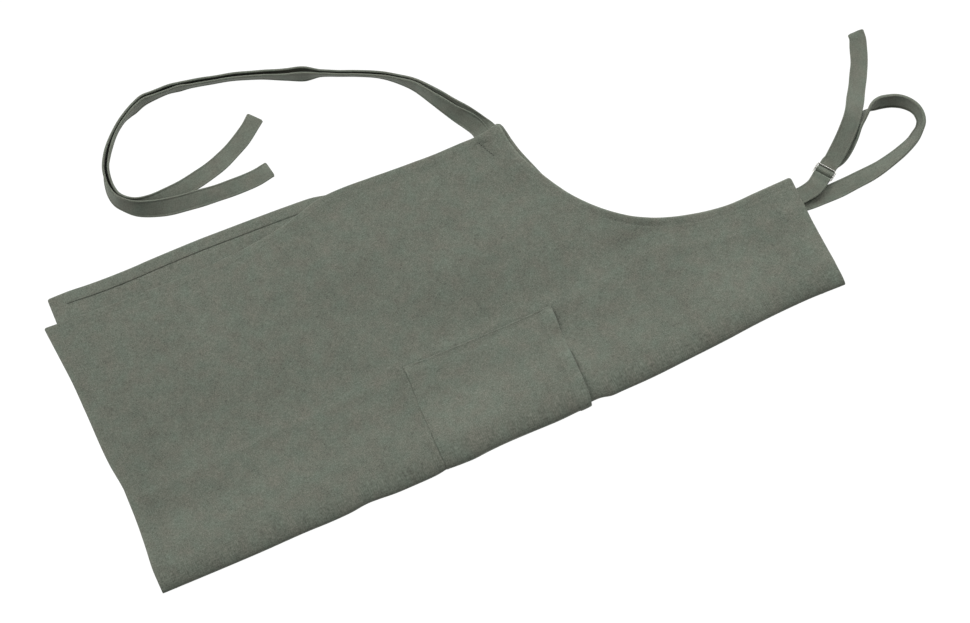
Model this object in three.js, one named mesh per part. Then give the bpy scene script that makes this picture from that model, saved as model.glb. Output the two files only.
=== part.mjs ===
// A bib apron, folded in half along its centre line and laid flat.
// Millimetres. X runs along the centre fold from the skirt hem to the bib,
// Y from the fold to the open side edges, and Z up from the table.
import * as THREE from 'three';

const { lerp, clamp, smoothstep, degToRad } = THREE.MathUtils;

// Apron panel: bib and skirt cut in one.
const LENGTH = 850;
const CLOTH = 1.1;
const HEM = 12;
const SKIRT_HEM = 18;
const BIB_HEM = 30;
const HEM_EXTRA = 0.5;
const HEM_STEP = 1;
const WAIST = 581;
const BIB_HALF = 142;
const BIB_START = 809;

// Rows across the panel, from the skirt hem to the waist and over the bib.
const SKIRT_ROWS = [0, SKIRT_HEM, SKIRT_HEM + HEM_STEP, 60, 110, 160, 210, 260, 300, 325, 341, 360,
  400, 450, 500, 517, 532, 548, 564, 575, 579];
const BIB_ROWS = [LENGTH - BIB_HEM - HEM_STEP, LENGTH - BIB_HEM, LENGTH - BIB_HEM / 2, LENGTH];

// Columns across the panel: how many between crease and hem, crease and fold, and below.
const OUTER_COLUMNS = 4;
const INNER_COLUMNS = 4;
const LOW_COLUMNS = [0.07, 0.16, 0.25, 0.335, 0.385, 0.6, 0.8, 1];

// Distance from the fold to the open side edge.
// The top layer's edge waves, and covers the bottom one's near the waist.
const TOP_SIDE = [
  { x: 0, y: 344 }, { x: 100, y: 338 }, { x: 190, y: 335 }, { x: 265, y: 338 }, { x: 325, y: 346 },
  { x: 348, y: 355 }, { x: 375, y: 357.5 }, { x: 412, y: 355.5 }, { x: 450, y: 353.5 },
  { x: 515, y: 351 }, { x: 560, y: 350 }, { x: 573, y: 352 }, { x: 578, y: 350.5 }, { x: WAIST, y: 344 },
];
const BOTTOM_SIDE = [
  { x: 0, y: 377 }, { x: 100, y: 374 }, { x: 240, y: 369 }, { x: 340, y: 363 }, { x: 380, y: 354 },
  { x: 500, y: 348 }, { x: 572, y: 347 }, { x: WAIST, y: 340 },
];
const ARMHOLE = [
  { x: WAIST, y: 344 }, { x: 583, y: 329 }, { x: 586, y: 311 }, { x: 593, y: 288 }, { x: 602, y: 262 },
  { x: 614, y: 235.5 }, { x: 629, y: 214 }, { x: 646, y: 195.5 }, { x: 665, y: 179.5 }, { x: 685, y: 167.5 },
  { x: 706, y: 158.5 }, { x: 729, y: 151.5 }, { x: 753, y: 146 }, { x: 778, y: 142.7 },
  { x: BIB_START, y: BIB_HALF },
];

// The two layers: how high the top one lies, and how their ends run out of square.
const LAYER_TOP = 3.6;
const BOTTOM_INSET = 4;
const BOTTOM_HEM_SKEW = 10;
const BIB_TOP_SKEW = 7;
const HEM_RUN = 70;
const TOP_HEM = [
  { y: 0, x: -2 }, { y: 22, x: -2.5 }, { y: 53, x: 0 }, { y: 92, x: 2.5 }, { y: 125, x: 3.5 },
  { y: 160, x: 0 }, { y: 230, x: -1 }, { y: 270, x: -1.6 }, { y: 300, x: -3.5 }, { y: 344, x: -6.5 },
];

// The soft centre fold, and how far its edge bows out.
const FOLD_HEIGHT = 12;
const FOLD_DEPTH = 16;
const FOLD_RUN = 70;
const FOLD_STEPS = 8;
const FOLD_EDGE = [
  { x: 0, y: -2 }, { x: 80, y: -4.3 }, { x: 170, y: -6 }, { x: 300, y: -7.3 }, { x: 420, y: -7 },
  { x: 545, y: -7.6 }, { x: 600, y: -8.8 }, { x: 650, y: -7.5 }, { x: 700, y: -5 }, { x: 750, y: -2.5 },
  { x: 800, y: -1.5 }, { x: LENGTH, y: -3.8 },
];

// The pressed crease runs along the pocket's side and out to the armhole.
const CREASE = [{ x: 0, y: 117 }, { x: 340, y: 121 }, { x: 540, y: 119 }, { x: 715, y: 142 }];
const CREASE_HEIGHT = 2.4;
const CREASE_RUN = 30;
const CREASE_EDGE = 14;
const CREASE_MARGIN = 34;

// Soft swells of the top layer.
const SWELLS = [
  { x: 120, y: 230, long: 90, wide: 60, rise: 2.2 },
  { x: 330, y: 270, long: 70, wide: 50, rise: 2.6 },
  { x: 455, y: 215, long: 80, wide: 45, rise: 3 },
  { x: 560, y: 190, long: 70, wide: 40, rise: 2 },
  { x: 210, y: 60, long: 80, wide: 30, rise: 1.6 },
  { x: 690, y: 70, long: 90, wide: 35, rise: 1.8 },
];

// Patch pocket across the fold.
const POCKET_BOTTOM = 345;
const POCKET_MOUTH = 524;
const POCKET_MOUTH_SKEW = 9;
const POCKET_REACH = 118;
const POCKET_CLOTH = 1.1;
const POCKET_GAP = 0.5;
const POCKET_HEM = 14;
const POCKET_INSET = 1;
const POCKET_ROWS = [0, 0.08, 0.3, 0.55, 0.8];
const POCKET_LOW_COLUMNS = 3;
const MOUTH_GAPE = 3.2;
const MOUTH_RUN = 110;

// Both layers rise where the pocket's lower half lies under them.
const LIFT = POCKET_CLOTH + POCKET_GAP;
const LIFT_MARGIN = 4;
const LIFT_RAMP = 14;

// Straps, all of one width and thickness.
const STRAP_WIDTH = 20;
const STRAP_CLOTH = 1.4;
const STRAP_STEPS = 3;
const STEEP = 0.2;

// The panel rises where straps are sewn between its layers.
const SEWN_CORNERS = [
  { x: 560, y: 338, flat: 30, reach: 80, rise: 3.5 },
  { x: 842, y: 112, flat: 34, reach: 80, rise: 3.5 },
];

// Three-bar slider, across the neck strap.
const SLIDER_X = 896.8;
const SLIDER_Y = 130.9;
const SLIDER_TURN = 33;
const SLIDER_HEIGHT = 4.7;
const SLIDER_WIDE = 25.8;
const SLIDER_LONG = 15.6;
const SLIDER_BAR = 2;
const SLIDER_BEVEL = 0.4;
const SLIDER_CORNER = 2.6;
const LOWER_BAR = -6.8;
const CENTRE_BAR = -0.7;
const TOP_BAR = 6.8;
const UPPER_SLOT = 21.8;
const LOWER_SLOT = 21.5;

// Waist ties. Roll 0 lies flat, 90 stands on edge with the outer edge up, 180 lies flat again.
// Lift is the height above the table of the strap's lowest edge.
const INNER_TIE_ROOT = [
  { x: 554, y: 334, roll: 0, lift: 3.6 }, { x: 553, y: 352, roll: 0, lift: 3.7 },
  { x: 550.5, y: 360, roll: 12, lift: 3.6 }, { x: 545.5, y: 369, roll: 30, lift: 2.8 },
];
const OUTER_TIE_ROOT = [
  { x: 562, y: 335, roll: 0, lift: 1.9 }, { x: 563, y: 350, roll: 0, lift: 1.9 },
  { x: 561, y: 355.5, roll: 3, lift: 1.2 }, { x: 556.5, y: 362.5, roll: 14, lift: 0.5 },
  { x: 549.8, y: 373, roll: 35, lift: 0.1 },
];

// The two ties then run side by side on edge, this far apart, round to their tails.
const TIE_PAIR = [
  { x: 537, y: 388.5, roll: 54, apart: 6.5 }, { x: 522.3, y: 414.5, roll: 72, apart: 6 },
  { x: 507, y: 438.8, roll: 84, apart: 3.2 }, { x: 490, y: 455.7, roll: 93, apart: 2.4 },
  { x: 470.3, y: 471.4, roll: 96, apart: 2.4 }, { x: 450, y: 482.4, roll: 96, apart: 2.4 },
  { x: 432.5, y: 490.9, roll: 94, apart: 2.6 }, { x: 412.5, y: 500.9, roll: 90, apart: 4 },
  { x: 393.3, y: 508.6, roll: 88, apart: 7.4 }, { x: 376, y: 516.4, roll: 92, apart: 6.2 },
  { x: 345, y: 530.6, roll: 95, apart: 3 }, { x: 311.3, y: 543.6, roll: 96, apart: 2.4 },
  { x: 288, y: 549.7, roll: 96, apart: 2.4 }, { x: 260, y: 556.6, roll: 95, apart: 2.4 },
  { x: 236, y: 559.6, roll: 94, apart: 2.4 }, { x: 214, y: 558.6, roll: 92, apart: 3 },
  { x: 196, y: 554.6, roll: 90, apart: 3 }, { x: 180, y: 547.3, roll: 89, apart: 2.6 },
  { x: 165, y: 536.6, roll: 90, apart: 2.6 }, { x: 150.5, y: 521.5, roll: 92, apart: 3 },
  { x: 140.3, y: 508, roll: 95, apart: 4.2 }, { x: 132.3, y: 493.5, roll: 98, apart: 5.2 },
  { x: 128.3, y: 478, roll: 103, apart: 5.2 }, { x: 127.8, y: 465, roll: 107, apart: 4.6 },
  { x: 130.4, y: 453.8, roll: 110, apart: 3.6 }, { x: 136.7, y: 445, roll: 115, apart: 3.2 },
];
const INNER_TIE_TAIL = [
  { x: 148.5, y: 438, roll: 130, lift: 0 }, { x: 166, y: 433.5, roll: 148, lift: 0 },
  { x: 190, y: 433.5, roll: 163, lift: 0 }, { x: 222, y: 438.5, roll: 174, lift: 0 },
  { x: 255, y: 446.5, roll: 179, lift: 0 }, { x: 288, y: 460.5, roll: 180, lift: 0 },
  { x: 308, y: 474, roll: 180, lift: 0.4 }, { x: 318.5, y: 484, roll: 180, lift: 1.2 },
];
const OUTER_TIE_TAIL = [
  { x: 146, y: 434.5, roll: 126, lift: 0 }, { x: 161, y: 427.5, roll: 139, lift: 0 },
  { x: 182, y: 421.5, roll: 153, lift: 0 }, { x: 218, y: 416.5, roll: 165, lift: 0 },
  { x: 252, y: 413.5, roll: 173, lift: 0 }, { x: 288, y: 413, roll: 178, lift: 0.3 },
  { x: 309, y: 416, roll: 180, lift: 1 },
];

// Neck strap, from the bib to the slider, and its free tail beyond it.
const NECK_LOOP = [
  { x: 836, y: 108, roll: 0, lift: 1.9 }, { x: 857, y: 107.4, roll: 0, lift: 1.9 },
  { x: 876, y: 106, roll: 0, lift: 0.2 }, { x: 892, y: 105.4, roll: 0, lift: 0 },
  { x: 907, y: 105.3, roll: -4, lift: 0 }, { x: 923, y: 105.4, roll: -11, lift: 0 },
  { x: 939, y: 106.1, roll: -18, lift: 0 }, { x: 956, y: 107.4, roll: -26, lift: 0 },
  { x: 973, y: 109.4, roll: -34, lift: 0 }, { x: 992, y: 114.3, roll: -44, lift: 0 },
  { x: 1010, y: 122.3, roll: -53, lift: 0 }, { x: 1020, y: 128.2, roll: -60, lift: 0 },
  { x: 1028, y: 135, roll: -70, lift: 0 }, { x: 1032, y: 144, roll: -82, lift: 0 },
  { x: 1031.3, y: 154.5, roll: -98, lift: 0 }, { x: 1025, y: 165.6, roll: -107, lift: 0 },
  { x: 1014, y: 174, roll: -112, lift: 0 }, { x: 1000, y: 179.3, roll: -108, lift: 0 },
  { x: 991, y: 180, roll: -101, lift: 0 }, { x: 982.5, y: 179.3, roll: -84, lift: 0 },
  { x: 974, y: 176.5, roll: -66, lift: 0 }, { x: 965, y: 172, roll: -54, lift: 0 },
  { x: 955, y: 166, roll: -44, lift: 0 }, { x: 942, y: 155.6, roll: -26, lift: 0 },
  { x: 930, y: 147, roll: -12, lift: 0 }, { x: 920, y: 141.7, roll: -4, lift: 0.1 },
];
const NECK_TAIL = [
  { x: 911.5, y: 139.2, roll: 0, lift: 3.4 }, { x: 920, y: 144.8, roll: 0, lift: 5.6 },
  { x: 930, y: 152, roll: 1, lift: 8.6 }, { x: 941, y: 160.8, roll: 3, lift: 12 },
  { x: 952, y: 171, roll: 4, lift: 15 }, { x: 958.5, y: 178.2, roll: 4, lift: 16 },
  { x: 964.5, y: 185.5, roll: 3, lift: 15 }, { x: 975.5, y: 200, roll: 1, lift: 9.5 },
  { x: 986.5, y: 214.8, roll: 0, lift: 4.6 }, { x: 996, y: 228.5, roll: 0, lift: 1.8 },
  { x: 1004, y: 241, roll: 0, lift: 0.5 }, { x: 1012.3, y: 258.4, roll: 1, lift: 0.4 },
  { x: 1016.5, y: 268, roll: 3, lift: 0.8 }, { x: 1019.3, y: 277, roll: 6, lift: 1.8 },
];

// The strap's way through the slider: places along it and heights of the strap's middle.
const THROUGH_SLIDER = [
  { along: 15, z: 0.85 }, { along: 7, z: 0.85 }, { along: 0, z: 0.85 }, { along: -2.2, z: 1.8 },
  { along: -2.95, z: 3.85 }, { along: -2.4, z: 6 }, { along: CENTRE_BAR, z: 6.95 },
  { along: 1.1, z: 6.5 }, { along: 3.1, z: 4.75 }, { along: 5, z: 3.05 }, { along: TOP_BAR, z: 2.55 },
  { along: 10, z: 2.6 },
];

// Short tab from the bib's top layer, wrapped round the slider's lower bar.
const TAB_RUN = [
  { x: 838, y: 116, roll: 0, lift: 3.6 }, { x: 857, y: 115.8, roll: 0, lift: 3.8 },
  { x: 868, y: 116.3, roll: 0, lift: 4.6 }, { x: 878, y: 119, roll: 0, lift: 5.2 },
];
const TAB_WRAP = [
  { along: -13, z: 6.2 }, { along: -8.5, z: 6.85 }, { along: LOWER_BAR, z: 6.95 },
  { along: -5.2, z: 6.2 }, { along: -4.7, z: 4.7 }, { along: -5.2, z: 3.2 },
  { along: LOWER_BAR, z: 2.45 }, { along: -9, z: 2.5 }, { along: -15, z: 2.75 }, { along: -22, z: 3.1 },
];

const CLOTH_COLOUR = '#6d7166';
const STRAP_COLOUR = '#727569';
const STEEL_COLOUR = '#c8c9cb';

// Value of a named column of a table, at a place along its key column.
function tableAt(table, key, at, column) {
  const after = table.findIndex((row) => row[key] >= at);
  if (after === 0) {
    return table[0][column];
  }
  if (after === -1) {
    return table.at(-1)[column];
  }
  const a = table[after - 1];
  const b = table[after];
  return lerp(a[column], b[column], (at - a[key]) / (b[key] - a[key]));
}

function topSide(x) {
  return tableAt(x <= WAIST ? TOP_SIDE : ARMHOLE, 'x', x, 'y');
}

function bottomSide(x) {
  return x <= WAIST ? tableAt(BOTTOM_SIDE, 'x', x, 'y') : tableAt(ARMHOLE, 'x', x, 'y') - BOTTOM_INSET;
}

function creaseLine(x) {
  return Math.min(tableAt(CREASE, 'x', x, 'y'), topSide(x) - CREASE_MARGIN);
}

function foldCentre(x) {
  return tableAt(FOLD_EDGE, 'x', x, 'y') + FOLD_DEPTH;
}

function pocketLift(x, y) {
  const mouth = POCKET_MOUTH + POCKET_MOUTH_SKEW;
  const past = Math.max(POCKET_BOTTOM - x, x - mouth, y - POCKET_REACH, LIFT_MARGIN) - LIFT_MARGIN;
  return LIFT * (1 - smoothstep(past, 0, LIFT_RAMP));
}

// Height of the top layer's upper face.
function topHeight(x, y) {
  const fold = 1 - smoothstep(y - foldCentre(x), 0, FOLD_RUN);
  const offCrease = Math.abs(y - creaseLine(x)) / CREASE_RUN;
  let z = LAYER_TOP + pocketLift(x, y);
  z += (FOLD_HEIGHT - LAYER_TOP) * fold;
  z += CREASE_HEIGHT * clamp(1 - offCrease, 0, 1) ** 2;
  for (const swell of SWELLS) {
    z += swell.rise * Math.exp(-(((x - swell.x) / swell.long) ** 2) - ((y - swell.y) / swell.wide) ** 2);
  }
  for (const corner of SEWN_CORNERS) {
    const away = Math.hypot(x - corner.x, y - corner.y);
    z += corner.rise * (1 - smoothstep(away, corner.flat, corner.reach));
  }
  return z;
}

// The hem of each layer and the bib's top edge run slightly out of square.
function topPlace(x, y) {
  const nearHem = 1 - smoothstep(x, 0, HEM_RUN);
  const nearBib = smoothstep(x, BIB_START, LENGTH);
  return x + tableAt(TOP_HEM, 'y', y, 'x') * nearHem + BIB_TOP_SKEW * nearBib * clamp(y / BIB_HALF, 0, 1);
}

function bottomPlace(x, y) {
  return x + BOTTOM_HEM_SKEW * clamp(y / bottomSide(0), 0, 1) * clamp(1 - x / WAIST, 0, 1);
}

// A point of the sheet's right side, with the way out of the cloth there.
function topPoint(x, y) {
  const place = topPlace(x, y);
  return { point: new THREE.Vector3(place, y, topHeight(x, y)), out: new THREE.Vector3(0, 0, 1) };
}

function bottomPoint(x, y) {
  return {
    point: new THREE.Vector3(bottomPlace(x, y), y, pocketLift(x, y)),
    out: new THREE.Vector3(0, 0, -1),
  };
}

function foldPoint(x, degrees) {
  const centre = foldCentre(x);
  const low = pocketLift(x, centre);
  const high = topHeight(x, centre);
  const middle = (low + high) / 2;
  const half = (high - low) / 2;
  const cos = Math.cos(degToRad(degrees));
  const sin = Math.sin(degToRad(degrees));
  return {
    point: new THREE.Vector3(topPlace(x, centre), centre - FOLD_DEPTH * cos, middle + half * sin),
    out: new THREE.Vector3(0, -cos / FOLD_DEPTH, sin / half).normalize(),
  };
}

function evenly(from, to, count) {
  return Array.from({ length: count }, (_, k) => lerp(from, to, (k + 1) / (count + 1)));
}

function foldAngles() {
  return Array.from({ length: FOLD_STEPS + 1 }, (_, k) => 90 - (180 * k) / FOLD_STEPS);
}

// Places between the crease and the fold, shared by the panel and the pocket.
function innerColumns(x) {
  const crease = creaseLine(x);
  return [crease - CREASE_EDGE, ...evenly(crease - CREASE_EDGE, foldCentre(x), INNER_COLUMNS)];
}

// Closed solid between two grids of points, one for each face of a sheet.
function sheetSolid(front, back) {
  const rows = front.length;
  const columns = front[0].length;
  const count = rows * columns;
  const points = [...front.flat(), ...back.flat()];
  const triangles = [];
  const quad = (a, b, c, d) => triangles.push(a, b, c, a, c, d);
  for (let i = 0; i + 1 < rows; i += 1) {
    for (let j = 0; j + 1 < columns; j += 1) {
      const a = i * columns + j;
      const b = a + columns;
      quad(a, a + 1, b + 1, b);
      quad(count + a, count + b, count + b + 1, count + a + 1);
    }
  }
  const across = Array.from({ length: columns }, (_, j) => j);
  const along = Array.from({ length: rows }, (_, i) => i * columns);
  const rim = [
    ...across.slice(0, -1),
    ...along.slice(0, -1).map((start) => start + columns - 1),
    ...across.slice(1).reverse().map((j) => along.at(-1) + j),
    ...along.slice(1).reverse(),
  ];
  rim.forEach((here, k) => {
    const next = rim[(k + 1) % rim.length];
    quad(here, count + here, count + next, next);
  });
  const geometry = new THREE.BufferGeometry();
  const places = points.flatMap((point) => point.toArray());
  geometry.setAttribute('position', new THREE.Float32BufferAttribute(places, 3));
  geometry.setIndex(triangles);
  geometry.computeVertexNormals();
  return geometry;
}

function clothMesh(name, geometry, colour) {
  const material = new THREE.MeshStandardMaterial({ color: colour, roughness: 0.92, metalness: 0 });
  const mesh = new THREE.Mesh(geometry, material);
  mesh.name = name;
  return mesh;
}

function panelRow(x) {
  const crease = creaseLine(x);
  const topEdge = topSide(x);
  const bottomEdge = bottomSide(x);
  const topHem = topEdge - HEM;
  const bottomHem = bottomEdge - HEM;
  const endHem = x <= SKIRT_HEM || x >= LENGTH - BIB_HEM;
  const flatColumns = [
    topHem - HEM_STEP,
    ...evenly(topHem - HEM_STEP, crease + CREASE_EDGE, OUTER_COLUMNS),
    crease + CREASE_EDGE,
    crease,
    ...innerColumns(x),
  ];
  const lowColumns = LOW_COLUMNS.map((part) => lerp(foldCentre(x), bottomHem - HEM_STEP, part));
  const wall = (sample, hemmed) => ({ ...sample, thick: CLOTH + (hemmed || endHem ? HEM_EXTRA : 0) });
  return [
    ...[topEdge, topHem].map((y) => wall(topPoint(x, y), true)),
    ...flatColumns.map((y) => wall(topPoint(x, y), false)),
    ...foldAngles().map((angle) => wall(foldPoint(x, angle), false)),
    ...lowColumns.map((y) => wall(bottomPoint(x, y), false)),
    ...[bottomHem, bottomEdge].map((y) => wall(bottomPoint(x, y), true)),
  ];
}

function makePanel() {
  const armholeRows = ARMHOLE.map((row) => row.x);
  const rows = [...SKIRT_ROWS, ...armholeRows, ...BIB_ROWS].map(panelRow);
  const outside = rows.map((row) => row.map((sample) => sample.point));
  const inside = rows.map((row) => row.map(
    (sample) => sample.point.clone().addScaledVector(sample.out, -sample.thick),
  ));
  return clothMesh('apron_panel', sheetSolid(outside, inside), CLOTH_COLOUR);
}

// The pocket follows the panel's right side, and gapes at the fold near its mouth.
function pocketRow(x) {
  const gape = MOUTH_GAPE * smoothstep(x, POCKET_MOUTH - MOUTH_RUN, POCKET_MOUTH);
  const topColumns = [creaseLine(x) - POCKET_INSET, ...innerColumns(x)];
  const lowColumns = evenly(foldCentre(x), POCKET_REACH, POCKET_LOW_COLUMNS);
  const layer = (sample, extra) => ({ ...sample, off: POCKET_GAP + extra });
  const skewed = (sample) => {
    const skew = POCKET_MOUTH_SKEW * clamp(sample.point.y / POCKET_REACH, 0, 1);
    sample.point.x += skew * clamp((x - POCKET_BOTTOM) / (POCKET_MOUTH - POCKET_BOTTOM), 0, 1);
    return sample;
  };
  return [
    ...topColumns.map((y) => layer(topPoint(x, y), 0)),
    ...foldAngles().map((angle) => layer(foldPoint(x, angle), gape * Math.cos(degToRad(angle)) ** 3)),
    ...[...lowColumns, POCKET_REACH].map((y) => layer(bottomPoint(x, y), 0)),
  ].map(skewed);
}

function makePocket() {
  const deep = POCKET_MOUTH - POCKET_BOTTOM;
  const hemLine = 1 - POCKET_HEM / deep;
  const places = [...POCKET_ROWS, hemLine, 1].map((f) => POCKET_BOTTOM + f * deep);
  const rows = places.map(pocketRow);
  const shell = (thick) => rows.map((row) => row.map(
    (sample) => sample.point.clone().addScaledVector(sample.out, sample.off + thick),
  ));
  return clothMesh('pocket', sheetSolid(shell(POCKET_CLOTH), shell(0)), CLOTH_COLOUR);
}

// A flat strap through its stations. Its width turns by the roll, from level to on edge.
function strapSolid(stations) {
  const places = stations.map((station) => new THREE.Vector3(station.x, station.y, 0));
  const postures = stations.map((station) => new THREE.Vector3(station.roll, station.lift, 0));
  const plan = new THREE.CatmullRomCurve3(places, false, 'centripetal');
  const turns = new THREE.CatmullRomCurve3(postures);
  const steps = (stations.length - 1) * STRAP_STEPS;
  const centres = [];
  const rolls = [];
  for (let k = 0; k <= steps; k += 1) {
    const { x: roll, y: lift } = turns.getPoint(k / steps);
    const turn = degToRad(roll);
    const tall = STRAP_WIDTH * Math.abs(Math.sin(turn)) + STRAP_CLOTH * Math.abs(Math.cos(turn));
    const centre = plan.getPoint(k / steps);
    centre.z = tall / 2 + Math.max(lift, 0);
    centres.push(centre);
    rolls.push(turn);
  }
  const front = [];
  const back = [];
  let side = null;
  centres.forEach((centre, k) => {
    const travel = centres[Math.min(k + 1, steps)].clone().sub(centres[Math.max(k - 1, 0)]).normalize();
    const level = new THREE.Vector3(travel.y, -travel.x, 0);
    const steep = level.length() < STEEP;
    if (side && (steep || level.dot(side) < 0)) {
      level.copy(steep ? side : level.negate());
    }
    side = level.normalize();
    const across = side.clone().multiplyScalar(Math.cos(rolls[k]));
    across.z = Math.sin(rolls[k]);
    across.addScaledVector(travel, -across.dot(travel)).normalize();
    const face = across.clone().cross(travel).normalize();
    const half = across.multiplyScalar(STRAP_WIDTH / 2);
    const edges = [centre.clone().sub(half), centre.clone().add(half)];
    const low = edges.map((edge) => edge.clone().addScaledVector(face, -STRAP_CLOTH / 2));
    const high = edges.map((edge) => edge.clone().addScaledVector(face, STRAP_CLOTH / 2));
    const corners = [...low, ...high];
    const sunk = Math.min(0, ...corners.map((corner) => corner.z));
    corners.forEach((corner) => corner.setZ(corner.z - sunk));
    back.push(low);
    front.push(high);
  });
  return sheetSolid(front, back);
}

// One tie of the pair: the inner one on the left of their shared line, the outer one on the right.
function besidePair(side) {
  return TIE_PAIR.map((here, k) => {
    const before = TIE_PAIR[Math.max(k - 1, 0)];
    const after = TIE_PAIR[Math.min(k + 1, TIE_PAIR.length - 1)];
    const travel = new THREE.Vector2(after.x - before.x, after.y - before.y).normalize();
    const off = (side * here.apart) / 2;
    return { x: here.x + travel.y * off, y: here.y - travel.x * off, roll: here.roll, lift: 0 };
  });
}

// Stations measured along the slider, in the apron's frame.
function alongSlider({ along, z }) {
  const turn = degToRad(SLIDER_TURN);
  return {
    x: SLIDER_X + along * Math.cos(turn),
    y: SLIDER_Y + along * Math.sin(turn),
    roll: 0,
    lift: z - STRAP_CLOTH / 2,
  };
}

function makeStrap(name, stations) {
  return clothMesh(name, strapSolid(stations), STRAP_COLOUR);
}

function barOutline(width, height, corner) {
  const outline = new THREE.Shape();
  const right = width / 2 - corner;
  const top = height / 2 - corner;
  outline.absarc(right, top, corner, 0, Math.PI / 2);
  outline.absarc(-right, top, corner, Math.PI / 2, Math.PI);
  outline.absarc(-right, -top, corner, Math.PI, 1.5 * Math.PI);
  outline.absarc(right, -top, corner, 1.5 * Math.PI, 2 * Math.PI);
  return outline;
}

// A slot between two bars. The bevel narrows it again to its stated length.
function slot(from, to, length) {
  const half = length / 2 + SLIDER_BEVEL;
  const rim = SLIDER_BAR / 2 - SLIDER_BEVEL;
  const hole = new THREE.Path();
  hole.moveTo(from + rim, -half);
  hole.lineTo(from + rim, half);
  hole.lineTo(to - rim, half);
  hole.lineTo(to - rim, -half);
  hole.closePath();
  return hole;
}

function makeSlider() {
  const frame = barOutline(SLIDER_LONG - 2 * SLIDER_BEVEL, SLIDER_WIDE - 2 * SLIDER_BEVEL, SLIDER_CORNER);
  frame.holes.push(slot(LOWER_BAR, CENTRE_BAR, LOWER_SLOT), slot(CENTRE_BAR, TOP_BAR, UPPER_SLOT));
  const depth = SLIDER_BAR - 2 * SLIDER_BEVEL;
  const geometry = new THREE.ExtrudeGeometry(frame, {
    depth,
    bevelThickness: SLIDER_BEVEL,
    bevelSize: SLIDER_BEVEL,
    bevelSegments: 1,
    curveSegments: 5,
  });
  geometry.translate(0, 0, -depth / 2);
  const material = new THREE.MeshStandardMaterial({ color: STEEL_COLOUR, roughness: 0.2, metalness: 1 });
  const mesh = new THREE.Mesh(geometry, material);
  mesh.name = 'slider_buckle';
  mesh.position.set(SLIDER_X, SLIDER_Y, SLIDER_HEIGHT);
  mesh.rotation.z = degToRad(SLIDER_TURN);
  return mesh;
}

const apron = new THREE.Group();
apron.add(
  makePanel(),
  makePocket(),
  makeStrap('waist_tie_inner', [...INNER_TIE_ROOT, ...besidePair(-1), ...INNER_TIE_TAIL]),
  makeStrap('waist_tie_outer', [...OUTER_TIE_ROOT, ...besidePair(1), ...OUTER_TIE_TAIL]),
  makeStrap('neck_strap', [...NECK_LOOP, ...THROUGH_SLIDER.map(alongSlider), ...NECK_TAIL]),
  makeStrap('buckle_tab', [...TAB_RUN, ...TAB_WRAP.map(alongSlider)]),
  makeSlider(),
);

// The origin is on the table, under the middle of everything.
const box = new THREE.Box3().setFromObject(apron, true);
const middle = box.getCenter(new THREE.Vector3());
apron.position.set(-middle.x, -middle.y, -box.min.z);

export default apron;
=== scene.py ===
"""A bib apron, folded in half along its centre line and laid flat, dressed over its CAD frame.

Outlines are drawn in drafting millimetres: x along the fold from the skirt hem to the bib,
y from the fold to the open sides, z up from the table. Finished pieces are in metres.
"""
import math

import bpy
import numpy as np
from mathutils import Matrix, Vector


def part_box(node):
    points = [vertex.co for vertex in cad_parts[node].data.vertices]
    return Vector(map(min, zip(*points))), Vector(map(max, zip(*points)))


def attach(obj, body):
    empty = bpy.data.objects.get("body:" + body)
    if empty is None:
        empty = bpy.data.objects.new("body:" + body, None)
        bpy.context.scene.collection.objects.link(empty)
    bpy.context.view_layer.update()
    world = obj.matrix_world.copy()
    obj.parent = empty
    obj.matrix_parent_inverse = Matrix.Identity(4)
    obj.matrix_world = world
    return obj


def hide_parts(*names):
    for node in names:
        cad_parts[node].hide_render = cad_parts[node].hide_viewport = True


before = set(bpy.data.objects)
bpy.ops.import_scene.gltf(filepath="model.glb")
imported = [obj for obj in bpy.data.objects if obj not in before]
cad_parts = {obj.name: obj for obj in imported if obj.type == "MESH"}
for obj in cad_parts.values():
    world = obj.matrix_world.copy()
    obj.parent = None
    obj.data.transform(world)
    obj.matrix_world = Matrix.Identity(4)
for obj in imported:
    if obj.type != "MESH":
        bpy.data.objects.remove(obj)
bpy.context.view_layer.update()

bl_info = {
    "name": "Folded bib apron",
    "version": (1, 0, 0),
    "blender": (4, 5, 0),
    "location": "View3D > Sidebar > Apron",
    "description": "Builds a folded canvas bib apron with its pocket, ties, neck strap and slider",
    "category": "Object",
}

MM = 0.001

# Apron panel, in drafting millimetres.
LENGTH = 850
SKIRT_HEM = 18
BIB_HEM = 30
SIDE_HEM = 12
WAIST = 581
BIB_HALF = 142
BIB_START = 809
LAYER_TOP = 3.6
INSET = 20
BOTTOM_INSET = 4
BOTTOM_HEM_SKEW = 10
BIB_TOP_SKEW = 7
HEM_RUN = 70
HEM_STEP = 0.4
SEAM_IN = 2.1
GROOVE = 0.18
GROOVE_WIDTH = 0.8
EDGE_ROUND = 1.1
EDGE_WEAR = 0.9
EDGE_WEAR_RUN = 2.5
SKIRT_CORNER = 3
BIB_CORNER = 4

# Grid of the panel: rows this far apart, and columns from hem to crease, crease to fold and
# fold to hem, crowded a little toward the crease and the fold.
ROW_STEP = 4.4
WIDE_COLUMNS = 46
NARROW_COLUMNS = 26
LOW_COLUMNS = 30
CROWDING = 1.2
# Distance from an edge of all points that lie further in than the hems.
FAR = 99.0

# Past the waist corner the bottom layer shows beyond the top one: by this much, fading out
# between two distances from the corner.
PEEK = 4.8
PEEK_FADE = (30, 140)
# Along the skirt's open side the top layer's edge lies thin and close, up to here.
LOW_SIDE = (225, 300)
TAB_ROOT = (850, 116)
# The seam that holds the tie's root, seen on the top layer.
ROOT_SEAM = ((544.5, 339.5), (547.5, 332), (554, 316))

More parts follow.
